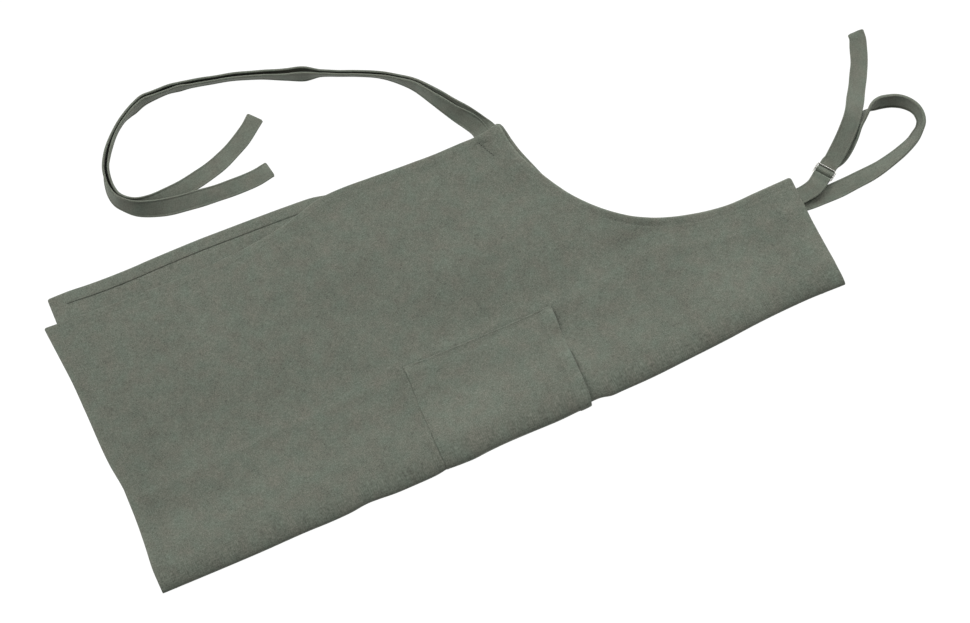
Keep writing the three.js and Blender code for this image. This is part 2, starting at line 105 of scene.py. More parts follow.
# Open side of each layer: along the fold, out from it. The waist corner is in between.
TOP_SIDE = (
    (0, 344.5), (83, 338), (156, 334.5), (205, 334.5), (260, 338), (290, 342), (317, 349),
    (335, 354.3), (350, 356.6), (375, 357), (412, 354.6), (450, 351.8), (515, 348.2), (545, 347.6),
    (562, 349.4), (573, 352), (578, 350.5), (WAIST, 344),
)
BOTTOM_SIDE = (
    (0, 376.4), (24, 375.8), (53, 373.2), (80, 371.7), (109, 371), (124, 371.2), (190, 370.2),
    (212, 369.2), (300, 364.6), (334, 361.8), (346, 359), (358, 356), (380, 352), (500, 346.5),
    (545, 346.5), (560, 350.5), (570, 353.5), (576, 354.6), (579.8, 351.8), (581.5, 344),
)
ARMHOLE = (
    (583, 329), (586, 311), (593, 288), (602, 262), (614, 235.5), (629, 214), (646, 195.5),
    (665, 179.5), (685, 167.5), (706, 158.5), (729, 151.5), (753, 146), (778, 142.7),
    (BIB_START, BIB_HALF), (LENGTH, BIB_HALF),
)
# How far the skirt hem runs out of square: out from the fold, along it.
TOP_HEM = (
    (0, -2), (22, -2.5), (53, 0), (92, 2.5), (125, 3.5), (160, 0), (230, -1), (270, -1.6),
    (300, -3.5), (344, -6.5),
)

# The soft centre fold, and how far its edge bows out along it.
FOLD_HEIGHT = 14
FOLD_DEPTH = 21
FOLD_RUN = 70
FOLD_STEPS = 22
FOLD_ANGLES = np.radians(np.linspace(90, -90, FOLD_STEPS + 1))
FOLD_EDGE = (
    (0, -2.5), (80, -5.3), (110, -6.1), (170, -6.8), (201, -8), (222, -7.9), (245, -6.2), (257, -7),
    (275, -8.8), (300, -9.6), (330, -9.5), (341, -8.5), (358, -8.5), (375, -8.8), (396, -7.6),
    (421, -7.3), (446, -7.9), (484, -8.8), (509, -7.9), (534, -7.4), (546, -10), (560, -10.2),
    (597, -10.5), (647, -8.7), (697, -6.6), (735, -4.2), (785, -2.9), (800, -2.9), (LENGTH, -5.2),
)

# The pressed crease along the pocket's side and out to the armhole.
CREASE = ((0, 117), (340, 121), (540, 119), (715, 142))
CREASE_HEIGHT = 0.9
CREASE_RUN = 22
CREASE_MARGIN = 34
# The lowest place of the armhole's curve, where its hem curls up: place, reach and rise.
ARMHOLE_HOLLOW = 668
HOLLOW_REACH = 45
HOLLOW_CURL = 1.3

# Soft swells of the top layer: along, out, half length, half width, rise.
SWELLS = (
    (120, 230, 90, 60, 2.2), (330, 270, 70, 50, 2.6), (455, 215, 80, 45, 3.0),
    (560, 190, 70, 40, 2.0), (210, 60, 80, 30, 1.6), (690, 70, 90, 35, 1.8),
)
# Corners that rise over the sewn-in straps: along, out, flat reach, full reach, rise.
SEWN_CORNERS = ((560, 338, 30, 80, 3.5), (842, 112, 34, 80, 2.8))

# Patch pocket across the fold.
POCKET_BOTTOM = 345
POCKET_MOUTH = 522.5
POCKET_MOUTH_SKEW = 9
POCKET_REACH = 118
POCKET_GAP = 0.5
POCKET_INSET = -0.5
POCKET_HEM = 14
POCKET_SEAM = 2.9
POCKET_HEM_STEP = 1.8
POCKET_THINNEST = 0.4
POCKET_ROWS = 40
POCKET_COLUMNS = 28
CORNER_SLANT = 10
MOUTH_GAPE = 0.6
MOUTH_DRAWN = 1.8
# Grid lines near the pocket's sewn edges, and the lowest heights of its two faces.
SEWN_STEPS = (0, 0.25, 0.8, 1.8, 2.6, 3.2, 3.8, 5, 8)
POCKET_LOWEST = (0.05, 0.5)
# The pocket's flat cloth lies clear of the panel's in the UV map.
POCKET_FLAT = (400, 700)
# How far the pocket's lower side runs out of square: out from the fold, along it.
POCKET_SIDE = (
    (0, -4.5), (28, -4), (45, -2.8), (62, -2), (75, -1.4), (86, 0), (98, 0.7), (106, 1.5),
    (118, 1.2),
)
# How far the mouth's edge stands off the apron: out from the fold, height.
MOUTH_STAND = (
    (10, 0.9), (18, 1.2), (30, 0.2), (42, 1.1), (54, 0.6), (62, -0.35), (84, -0.35), (94, 0.4),
    (106, 0.7), (114, 0.2),
)
MOUTH_RUN = 110
LIFT = 1.6
LIFT_MARGIN = 4
LIFT_RAMP = 14

# Straps, and the slider's place, turn and bars along the strap.
STRAP_WIDTH = 20
STRAP_CLOTH = 1.4
STRAP_STEPS = 10
TAPE_WIDTH = 21.2
TAPE_WAVER = 0.025
TAPE_FLAT_STEP = 60.0
STEEP = 0.2
SLIDER_X = 896.8
SLIDER_Y = 130.9
SLIDER_TURN = 33
SLIDER_HEIGHT = 4.7
SLIDER_WIDE = 25.8
SLIDER_WIRE = 1.7
SLIDER_CORNER = 2.2
LOWER_BAR = -6.8
CENTRE_BAR = -0.7
TOP_BAR = 6.8

# Strap stations: along, out, roll in degrees, lift off the table.
INNER_TIE_ROOT = ((554, 334, 0, 3.6), (553, 352, 0, 3.7), (550.5, 360, 12, 3.6), (545.5, 369, 30, 2.8))
OUTER_TIE_ROOT = (
    (562, 335, 0, 1.9), (563, 350, 0, 1.9), (561, 355.5, 3, 1.2), (556.5, 362.5, 14, 0.5),
    (549.8, 373, 35, 0.1),
)
# Both ties side by side: along, out, roll, distance apart, and the further lean of the inner
# and of the outer one.
TIE_PAIR = (
    (537, 388.5, 54, 6.5, 0, 0), (522.3, 414.5, 72, 6, 0, 0), (507, 438.8, 84, 4, 2, 0),
    (490, 455.7, 93, 3.4, 8, 2), (470.3, 471, 96, 3.4, 14, 8), (450, 482, 96, 3.4, 15, 10),
    (432.5, 490.5, 94, 3.5, 17, 13), (412.5, 500.5, 90, 4.2, 18, 15), (393.3, 508.6, 88, 7.2, 0, 0),
    (376, 515.6, 92, 6.2, 4, 0), (345, 529.4, 95, 4.2, 10, 2), (311.3, 542, 96, 3.8, 12, 3),
    (288, 548, 96, 3.8, 12, 3), (266, 553.8, 95, 3.8, 12, 3), (252, 556.8, 95, 3.8, 5, 3),
    (238, 558.6, 94, 3.8, 11, 2), (220, 558.8, 93, 3.6, 8, 0), (206, 558.2, 91, 3.6, 3, -2),
    (194, 554, 90, 3.6, 3, 0), (185.5, 550.6, 89, 3.4, 10, 6), (175.5, 545.6, 89, 3.4, 16, 12),
    (162.4, 535.6, 90, 3.4, 14, 10), (150, 521.9, 92, 3.8, 9, 3), (140.3, 508, 95, 4, 6, -5),
    (132.3, 493.5, 98, 4.1, 6, -5), (128.3, 478, 103, 4.1, 5, -5), (127.8, 465, 107, 4, 3, -3),
    (130.4, 453.8, 110, 3.6, 1, -1), (136.7, 445, 115, 3.2, 0, 0),
)
INNER_TIE_TAIL = (
    (148.5, 438, 130, 0), (166, 434, 148, 0), (191, 435, 163, 0), (224, 440.2, 174, 0),
    (256.5, 448.6, 179, 0), (288, 463, 180, 0), (306, 474.6, 180, 0.4), (319.8, 485.4, 180, 1.2),
)
OUTER_TIE_TAIL = (
    (146, 434.5, 126, 0), (161, 427.5, 139, 0), (182, 421.5, 153, 0), (218, 416.5, 165, 0),
    (252, 413.5, 173, 0), (288, 413, 178, 0.3), (309, 416, 180, 1),
)
NECK_LOOP = (
    (836, 108, -180, 1.9), (853, 107.4, -180, 1.7), (866, 106.6, -180, 0.2), (876, 106, -180, 0),
    (892, 105.4, -180, 0), (907, 105.3, -178, 0), (926.8, 105.9, -172, 0), (943.7, 106.3, -164, 0),
    (958.5, 107.6, -155, 0), (977, 111, -145, 0), (990.5, 114.3, -138, 0), (1009, 121, -127, 0),
    (1018.6, 127.2, -119, 0), (1026.6, 133.6, -109, 0), (1031.4, 142.6, -99, 0),
    (1031.4, 154.2, -97, 0), (1025.2, 165.3, -102, 0), (1014.5, 174.2, -109, 0),
    (1000, 179.3, -109, 0), (991, 180, -101, 0), (982.8, 179.2, -84, 0), (974.8, 176.2, -66, 0),
    (966.2, 171.5, -54, 0), (956.2, 165.4, -44, 0), (943.4, 155, -26, 0), (931.2, 146.5, -12, 0),
    (920.8, 141.4, -4, 0.1),
)
NECK_TAIL = (
    (911.5, 139.2, 0, 3.4), (920, 144.8, 0, 5.6), (930, 152, 1, 8.6), (941, 160.8, 3, 12),
    (952, 171, 4, 15), (958.5, 178.2, 4, 16), (964.5, 185.5, 3, 15), (975.5, 200, 1, 9.5),
    (986.5, 214.8, 0, 4.6), (996, 228.5, 0, 1.8), (1004, 241, 0, 0.5), (1012.3, 258.4, 1, 0.4),
    (1016.8, 268.5, 3, 0.8), (1018.3, 277.3, 6, 1.8),
)
TAB_RUN = ((838, 116, 0, 3.6), (857, 115.8, 0, 5), (868, 116.3, 0, 6.8), (878, 119, 0, 6.6))
# Through the slider: place along it, height of the strap's middle.
THROUGH_SLIDER = (
    (15, 0.85), (7, 0.85), (0, 0.85), (-2.2, 1.8), (-2.95, 3.85), (-2.4, 6), (CENTRE_BAR, 6.95),
    (1.1, 6.5), (3.1, 4.75), (5, 3.05), (TOP_BAR, 2.55), (10, 2.6),
)
TAB_WRAP = (
    (-13, 6.2), (-8.5, 6.85), (LOWER_BAR, 6.95), (-5.2, 6.2), (-4.7, 4.7), (-5.2, 3.2),
    (LOWER_BAR, 2.45), (-9, 2.5), (-15, 2.75), (-22, 3.1),
)

# The camera of the photograph: aim in drafting millimetres, angles in degrees.
AIM = (461.1, 146.1, 0)
AZIMUTH = -25.434
ELEVATION = 70
DISTANCE = 2.644
LENS = 85
SENSOR = 36
# Soft lights: metres behind the aim, to its right and up, and the width of the disk.
LIGHTS = (("key", 0.9, -4, 3, 2.4), ("side", 1.6, 2.4, 2.5, 2.0), ("back", 3.4, 0.6, 2.6, 2.8))
FLOOR_SIZE = 30
FLOOR_DROP = 0.0006


def linear(code):
    """An sRGB hex colour as linear red, green, blue and alpha."""
    parts = [int(code[k:k + 2], 16) / 255 for k in (1, 3, 5)]
    return tuple(p / 12.92 if p <= 0.04045 else ((p + 0.055) / 1.055) ** 2.4 for p in parts) + (1.0,)


def drafting_origin():
    """Where the drafting origin lies in the part's frame, from the slider's known place."""
    low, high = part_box("slider_buckle")
    middle = (low + high) / 2
    return np.array((middle.x - SLIDER_X * MM, middle.y - SLIDER_Y * MM, 0.0))


ORIGIN = drafting_origin()


def placed(points):
    """Drafting millimetres as metres in the part's frame."""
    return np.asarray(points, float) * MM + ORIGIN


def ease(value, low, high):
    """From 0 at the low value to 1 at the high one, level at both ends."""
    t = np.clip((value - low) / (high - low), 0, 1)
    return t * t * (3 - 2 * t)


def bell(value, reach):
    """A smooth hump, 1 at zero and nearly gone at twice the reach."""
    return np.exp(-((value / reach) ** 2))


def unit(vectors):
    """Vectors made one long."""
    return vectors / np.maximum(np.linalg.norm(vectors, axis=-1, keepdims=True), 1e-9)


def along_table(table, at):
    """Smooth value of a two-column table, held level past its ends."""
    key, value = np.array(table, float).T
    slope = np.gradient(value, key)
    at = np.clip(at, key[0], key[-1])
    k = np.clip(np.searchsorted(key, at) - 1, 0, len(key) - 2)
    span = key[k + 1] - key[k]
    t = (at - key[k]) / span
    rise = t * t * (3 - 2 * t)
    tangents = t * (1 - t) ** 2 * slope[k] + t * t * (t - 1) * slope[k + 1]
    return value[k] + (value[k + 1] - value[k]) * rise + span * tangents


def smooth_line(points, steps):
    """Points on a centripetal curve through the given ones, so many steps to each span."""
    p = np.asarray(points, float)
    p = np.vstack([2 * p[0] - p[1], p, 2 * p[-1] - p[-2]])
    p0, p1, p2, p3 = p[:-3], p[1:-2], p[2:-1], p[3:]
    gaps = [np.sqrt(np.linalg.norm(b - a, axis=1))[:, None] for a, b in ((p0, p1), (p1, p2), (p2, p3))]
    d1 = np.where(gaps[1] < 1e-4, 1.0, gaps[1])
    d0 = np.where(gaps[0] < 1e-4, d1, gaps[0])
    d2 = np.where(gaps[2] < 1e-4, d1, gaps[2])
    t1 = ((p1 - p0) / d0 - (p2 - p0) / (d0 + d1) + (p2 - p1) / d1) * d1
    t2 = ((p2 - p1) / d1 - (p3 - p1) / (d1 + d2) + (p3 - p2) / d2) * d1
    w = (np.arange(steps) / steps)[None, :, None]
    p1, p2, t1, t2 = (a[:, None, :] for a in (p1, p2, t1, t2))
    line = p1 + w * t1 + w ** 2 * (3 * (p2 - p1) - 2 * t1 - t2) + w ** 3 * (2 * (p1 - p2) + t1 + t2)
    return np.vstack([line.reshape(-1, p.shape[1]), p[-2]])


def arc(line):
    """Distance along a line, at each of its points."""
    return np.concatenate([[0], np.cumsum(np.linalg.norm(np.diff(line, axis=0), axis=1))])


def at_distance(line, far, at):
    """Values of a line at the given distances along it."""
    return np.stack([np.interp(at, far, line[:, k]) for k in range(line.shape[1])], -1)


def at_part(line, part):
    """Points at the given parts of a line's length, from 0 to 1."""
    far = arc(line)
    return at_distance(line, far / far[-1], part)


def heading(line):
    """Direction of travel at each point of a line."""
    ahead = np.vstack([line[1:], line[-1:]])
    behind = np.vstack([line[:1], line[:-1]])
    return unit(ahead - behind)


def ripple(x, y, seed, wave, count=9):
    """Gentle unevenness from -1 to 1, with waves about so many millimetres long."""
    rng = np.random.default_rng(seed)
    total = np.zeros(np.broadcast(x, y).shape)
    for _ in range(count):
        turn, phase = rng.uniform(0, 2 * math.pi, 2)
        long = wave * rng.uniform(0.7, 1.6)
        total = total + np.sin(2 * math.pi * (x * math.cos(turn) + y * math.sin(turn)) / long + phase)
    return total / math.sqrt(count * 2)


def slow_waves(x, y):
    """How the top layer rises and falls by a third of a millimetre."""
    return 0.35 * ripple(x, y, 5, 85)


def fold_centre(x):
    """Where the fold's round part ends and the layers begin."""
    return along_table(FOLD_EDGE, x) + FOLD_DEPTH


def pocket_lift(x, y):
    """Both layers rise where the pocket's lower half lies under them."""
    mouth = POCKET_MOUTH + POCKET_MOUTH_SKEW
    past = np.maximum.reduce([POCKET_BOTTOM - x, x - mouth, y - POCKET_REACH, np.full_like(x, LIFT_MARGIN)])
    return LIFT * (1 - ease(past - LIFT_MARGIN, 0, LIFT_RAMP))


def crease_line(x):
    """How far out the crease runs, kept clear of the open side."""
    outside = np.where(x <= WAIST, along_table(TOP_SIDE, x), along_table(((WAIST, 344),) + ARMHOLE, x))
    return np.minimum(along_table(CREASE, x), outside - CREASE_MARGIN)


def top_height(x, y):
    """Height of the top layer's upper face."""
    z = LAYER_TOP + pocket_lift(x, y)
    z = z + (FOLD_HEIGHT - LAYER_TOP) * (1 - ease(y - fold_centre(x), 0, FOLD_RUN))
    z = z + CREASE_HEIGHT * np.clip(1 - np.abs(y - crease_line(x)) / CREASE_RUN, 0, 1) ** 2
    for along, out, long, wide, rise in SWELLS:
        z = z + rise * np.exp(-(((x - along) / long) ** 2) - ((y - out) / wide) ** 2)
    for along, out, flat, reach, rise in SEWN_CORNERS:
        z = z + rise * (1 - ease(np.hypot(x - along, y - out), flat, reach))
    return z


def top_place(x, y):
    """Where a point of the top layer lies along the fold, with its ends out of square."""
    hem = along_table(TOP_HEM, y) * (1 - ease(x, 0, HEM_RUN))
    return x + hem + BIB_TOP_SKEW * ease(x, BIB_START, LENGTH) * np.clip(y / BIB_HALF, 0, 1)


def bottom_place(x, y):
    """Where a point of the bottom layer lies along the fold, with its hem out of square."""
    return x + BOTTOM_HEM_SKEW * np.clip(y / BOTTOM_SIDE[0][1], 0, 1) * np.clip(1 - x / WAIST, 0, 1)


def fold_points(x):
    """Points of the rounded fold, row by row, with the way out of the cloth."""
    centre = fold_centre(x)
    low, high = pocket_lift(x, centre), top_height(x, centre)
    cos, sin = np.cos(FOLD_ANGLES)[None, :], np.sin(FOLD_ANGLES)[None, :]
    middle, half = ((high + low) / 2)[:, None], ((high - low) / 2)[:, None]
    along = np.broadcast_to(top_place(x, centre)[:, None], (len(x), len(FOLD_ANGLES)))
    points = np.stack([along, centre[:, None] - FOLD_DEPTH * cos, middle + half * sin], -1)
    out = np.stack([np.zeros_like(along), np.broadcast_to(-cos / FOLD_DEPTH, along.shape), sin / half], -1)
    return points, unit(out)


def waist_tip(edge):
    """The edge point that sticks out furthest at the waist corner."""
    return int(np.argmax(edge.sum(axis=1) * (edge[:, 0] < BIB_START - 150)))


def edge_and_inset(side):
    """A layer's open edge and the line INSET inside it, each split at the waist corner."""
    edge = smooth_line(side + ARMHOLE, 14)
    tip = waist_tip(edge)
    past_tip = arc(edge) - arc(edge)[tip]
    fade = ease(past_tip, *PEEK_FADE)
    if side is TOP_SIDE:
        drop = PEEK * ease(past_tip, -12, 14) * (1 - fade)
    else:
        drop = BOTTOM_INSET * fade
    travel = heading(edge)
    inward = np.stack([travel[:, 1], -travel[:, 0]], -1)
    edge = edge + inward * drop[:, None]
    inside = edge + INSET * inward
    inside[0, 0] = edge[0, 0]
    skirt, bib = inside[:tip + 1], inside[tip:]
    level = np.interp(bib[:, 0], skirt[:-30, 0], skirt[:-30, 1])
    first = int(np.argmax(bib[:, 1] < level))
    corner = bib[first]
    skirt = np.vstack([skirt[skirt[:, 0] < corner[0] - 1], corner])
    return (edge[:tip + 1], edge[tip:]), (skirt, bib[first:])


def round_corner(points, corner, way, radius):
    """Points with one square corner of their grid drawn in to a quarter circle.

    The way is the sign of each outer side.
    """
    past = np.clip((points - corner) * way + radius, 0, None)
    far = np.maximum(np.hypot(past[..., 0], past[..., 1]), 1e-9)
    drawn = past * (past.max(axis=-1) / far)[..., None]
    both = (past > 0).all(axis=-1)[..., None]
    return np.where(both, points + (drawn - past) * way, points)


def round_corners(points, side, drop):
    """Rounded skirt and bib corners of a layer."""
    points = round_corner(points, np.array((0.0, side[0][1])), np.array((-1, 1)), SKIRT_CORNER)
    return round_corner(points, np.array((LENGTH, BIB_HALF - drop)), np.array((1, 1)), BIB_CORNER)


def hem_steps(hem):
    """Distances from a turned edge, close together at the edge, the stitching and the hem's inner fold."""
    near = (0, 0.25, 0.8, 1.8, 3.2, 0.45 * hem, 0.62 * hem)
    seam = tuple(hem + off for off in (-3.4, -2.7, -2.1, -1.5, -0.9, -0.35, 0, 0.35, 0.9, 1.8, 3.5))
    return near + seam


def row_parts(skirt_long, bib_long):
    """Rows of the panel as distances along its open edge."""
    start = hem_steps(SKIRT_HEM)
    end = [skirt_long + bib_long - step for step in hem_steps(BIB_HEM)][::-1]
    count = int((end[0] - start[-1]) / ROW_STEP)
    middle = np.linspace(start[-1], end[0], count)[1:-1]
    return np.concatenate([start, middle, end])


def closed_sheet(name, outer, inner, flat, wear_and_shade):
    """A closed mesh between two grids of points, with its flat cloth as a UV map in metres."""
    rows, columns = outer.shape[:2]
    count = rows * columns
    ids = np.arange(count).reshape(rows, columns)
    front = np.stack([ids[:-1, :-1], ids[:-1, 1:], ids[1:, 1:], ids[1:, :-1]], -1).reshape(-1, 4)
    rim = np.concatenate([ids[0, :-1], ids[:-1, -1], ids[-1, :0:-1], ids[:0:-1, 0]])
    after = np.roll(rim, -1)
    sides = np.stack([rim, rim + count, after + count, after], -1)
    faces = np.concatenate([front, front[:, ::-1] + count, sides])
    points = np.concatenate([outer.reshape(-1, 3), inner.reshape(-1, 3)])
    return cloth_object(name, points, faces, np.tile(flat.reshape(-1, 2), (2, 1)), np.tile(wear_and_shade.ravel(), 2))


def cloth_object(name, points, faces, flat, wear_and_shade):
    """A smooth mesh object at the origin, with its flat cloth as UVs, and its wear with painted light and
    shade as an attribute.
    """
    mesh = bpy.data.meshes.new(name)
    mesh.from_pydata(placed(points).tolist(), [], faces.tolist() if hasattr(faces, "tolist") else faces)
    mesh.polygons.foreach_set("use_smooth", np.ones(len(mesh.polygons), bool))
    corner = np.empty(len(mesh.loops), np.int32)
    mesh.loops.foreach_get("vertex_index", corner)
    weave = mesh.uv_layers.new(name="flat_cloth")
    weave.data.foreach_set("uv", (np.asarray(flat)[corner] * MM).astype(np.float32).ravel())
    worn = mesh.attributes.new("wear_and_shade", "FLOAT", "POINT")
    worn.data.foreach_set("value", np.asarray(wear_and_shade, np.float32))
    mesh.update()
    piece = bpy.data.objects.new(name, mesh)
    bpy.context.scene.collection.objects.link(piece)
    return piece


def on_grid(grid, row, column):
    """Points of a grid at fractional rows and columns."""
    r0 = np.clip(np.floor(row).astype(int), 0, grid.shape[0] - 2)
    c0 = np.clip(np.floor(column).astype(int), 0, grid.shape[1] - 2)
    u, v = (row - r0)[:, None], (column - c0)[:, None]
    low = grid[r0, c0] * (1 - v) + grid[r0, c0 + 1] * v
    high = grid[r0 + 1, c0] * (1 - v) + grid[r0 + 1, c0 + 1] * v
    return low * (1 - u) + high * u


def stitch_run(line, out, pitch, long, thick):
    """Stitches of one seam: centre, along, across and out of the cloth, length and thickness."""
    far = arc(line)
    count = max(2, int(far[-1] / pitch))
    at = (np.arange(count) + 0.5) / count * far[-1]
    along = unit(at_distance(line, far, at + 0.5) - at_distance(line, far, at - 0.5))
    across = unit(np.cross(at_distance(out, far, at), along))
    return at_distance(line, far, at), along, across, np.cross(along, across), long, thick


# A hem stitch's length as a part of its pitch, and its thickness. The root seam's pitch, length and
# thickness.
STITCH_LONG = 0.74
STITCH_THICK = 0.6
ROOT_STITCH = (2.9, 2.0, 1.1)
# One stitch: rings along it, as parts of half its length, of its half width and of its sunk height.
STITCH_RINGS = ((-1, 0.35, -0.5), (-0.6, 0.95, 0.1), (0, 1.05, 0.3), (0.6, 0.95, 0.1), (1, 0.35, -0.5))
STITCH_SIDES = 6


def seam_run(cloth, grid, out, at_rows, at_columns):
    """Hem stitches along a line of a grid, given the grid of ways out of the cloth."""
    line, up = on_grid(grid, at_rows, at_columns), on_grid(out, at_rows, at_columns)
    return stitch_run(line, up, cloth.stitch_pitch, STITCH_LONG * cloth.stitch_pitch, STITCH_THICK)


def stitches_object(name, runs):
    """All stitches of a piece as one object of small closed thread loops."""
    points, faces, flat = [], [], []
    for centre, along, across, up, long, thick in runs:
        for c, a, s, u in zip(centre, along, across, up):
            first = len(points)
            for far, wide, high in STITCH_RINGS:
                for k in range(STITCH_SIDES):
                    turn = 2 * math.pi * k / STITCH_SIDES
                    off = s * math.cos(turn) * wide + u * (math.sin(turn) * wide + high)
                    points.append(c + a * far * long / 2 + off * thick / 2)
                    flat.append((far * long / 2, turn))
            for ring in range(len(STITCH_RINGS) - 1):
                for k in range(STITCH_SIDES):
                    here = first + ring * STITCH_SIDES
                    there = here + STITCH_SIDES
                    after = (k + 1) % STITCH_SIDES
                    faces.append((here + k, here + after, there + after, there + k))
            last = first + (len(STITCH_RINGS) - 1) * STITCH_SIDES
            faces.append(tuple(range(first + STITCH_SIDES - 1, first - 1, -1)))
            faces.append(tuple(range(last, last + STITCH_SIDES)))
    return cloth_object(name, np.array(points), faces, np.array(flat), np.zeros(len(points)))


def add_node(tree, kind, inputs=None, **settings):
    """A node of a kind, with its settings, and its inputs set or linked."""
    node = tree.nodes.new(kind)
    for name, value in settings.items():
        setattr(node, name, value)
    for name, value in (inputs or {}).items():
        if isinstance(value, bpy.types.NodeSocket):
            tree.links.new(value, node.inputs[name])
        else:
            node.inputs[name].default_value = value
    return node


class ApronCloth(bpy.types.PropertyGroup):
    """Canvas of the panel, the pocket and the straps."""

    thickness: bpy.props.FloatProperty(
        name="Cloth thickness", description="Thickness of one layer of canvas in millimetres",
        default=0.9, min=0.3, max=2.0)
    hem_turn: bpy.props.FloatProperty(
        name="Hem turn", description="Extra thickness of a turned hem on the inside in millimetres",
        default=0.5, min=0.0, max=2.0)
    open_hem_turn: bpy.props.FloatProperty(
        name="Open hem turn", default=0.9, min=0.0, max=3.0,
        description="Extra thickness of the hem that lies bare at the side, in millimetres")
    stitch_pitch: bpy.props.FloatProperty(
        name="Stitch pitch", description="Length of one stitch with its gap in millimetres",
        default=3.4, min=1.0, max=8.0)
    light_thread: bpy.props.FloatVectorProperty(
        name="Light thread", description="Colour of the lighter yarn", subtype="COLOR", size=4,
        default=linear("#7b8578"))
    warm_thread: bpy.props.FloatVectorProperty(
        name="Warm thread", description="Colour of the lighter yarn where the dye took warmer",
        subtype="COLOR", size=4, default=linear("#818276"))
    dark_thread: bpy.props.FloatVectorProperty(
        name="Dark thread", description="Colour of the darker yarn", subtype="COLOR", size=4,
        default=linear("#3f423a"))
    matched_thread: bpy.props.FloatVectorProperty(
        name="Matched sewing thread", description="Colour of the thread of the hems",
        subtype="COLOR", size=4, default=linear("#6b7065"))
    seam_thread: bpy.props.FloatVectorProperty(
        name="Dark sewing thread", description="Colour of the thread at the ties' roots",
        subtype="COLOR", size=4, default=linear("#373a33"))


class ApronSlider(bpy.types.PropertyGroup):
    """Wire slider on the neck strap."""

    wire: bpy.props.FloatProperty(
        name="Wire", description="Diameter of the slider's wire", default=SLIDER_WIRE * MM,
        subtype="DISTANCE", unit="LENGTH")
    plating: bpy.props.FloatVectorProperty(
        name="Plating", description="Colour of the nickel plating", subtype="COLOR", size=4,
        default=linear("#bdbcb6"))


class ApronStage(bpy.types.PropertyGroup):
    """Floor, light and camera."""

    key_power: bpy.props.FloatProperty(
        name="Key light", description="Power of the soft light from above and the left", default=160.0,
        unit="POWER")
    side_power: bpy.props.FloatProperty(
        name="Side light", description="Power of the soft light from above and the right", default=64.0,
        unit="POWER")
    back_power: bpy.props.FloatProperty(
        name="Back light", description="Power of the soft light from above and behind", default=95.0,
        unit="POWER")
    sky: bpy.props.FloatProperty(
        name="Sky", description="Strength of the even light from all round", default=0.2)
    floor_glow: bpy.props.FloatProperty(
        name="Floor glow", description="Brightness of the light table under the apron", default=1.0)
    floor: bpy.props.FloatVectorProperty(
        name="Floor", description="Colour of the light table when dark", subtype="COLOR", size=4,
        default=linear("#484848"))


# Pattern sizes of the canvas in metres. Real yarns are half a millimetre apart; the streaks are
# about twice that so that they show.
WARP_STREAK = (0.005, 0.001)
WEFT_STREAK = (0.001, 0.004)
FLECK = 0.0013
CLOUD = 0.015
DYE_PATCH = 0.019
DRIFT = 0.07
# How much each pattern adds to the mix of dark and light yarn.
YARN_SHARE = 0.58
CLOUD_SHARE = 0.22
DRIFT_SHARE = 0.16
WEAR_AND_SHADE_SHARE = 0.12
TAPE_CONTRAST = 0.6


def new_material(name):
    """A new material with its node tree and its shader."""
    material = bpy.data.materials.new(name)
    material.use_nodes = True
    return material, material.node_tree, material.node_tree.nodes["Principled BSDF"]


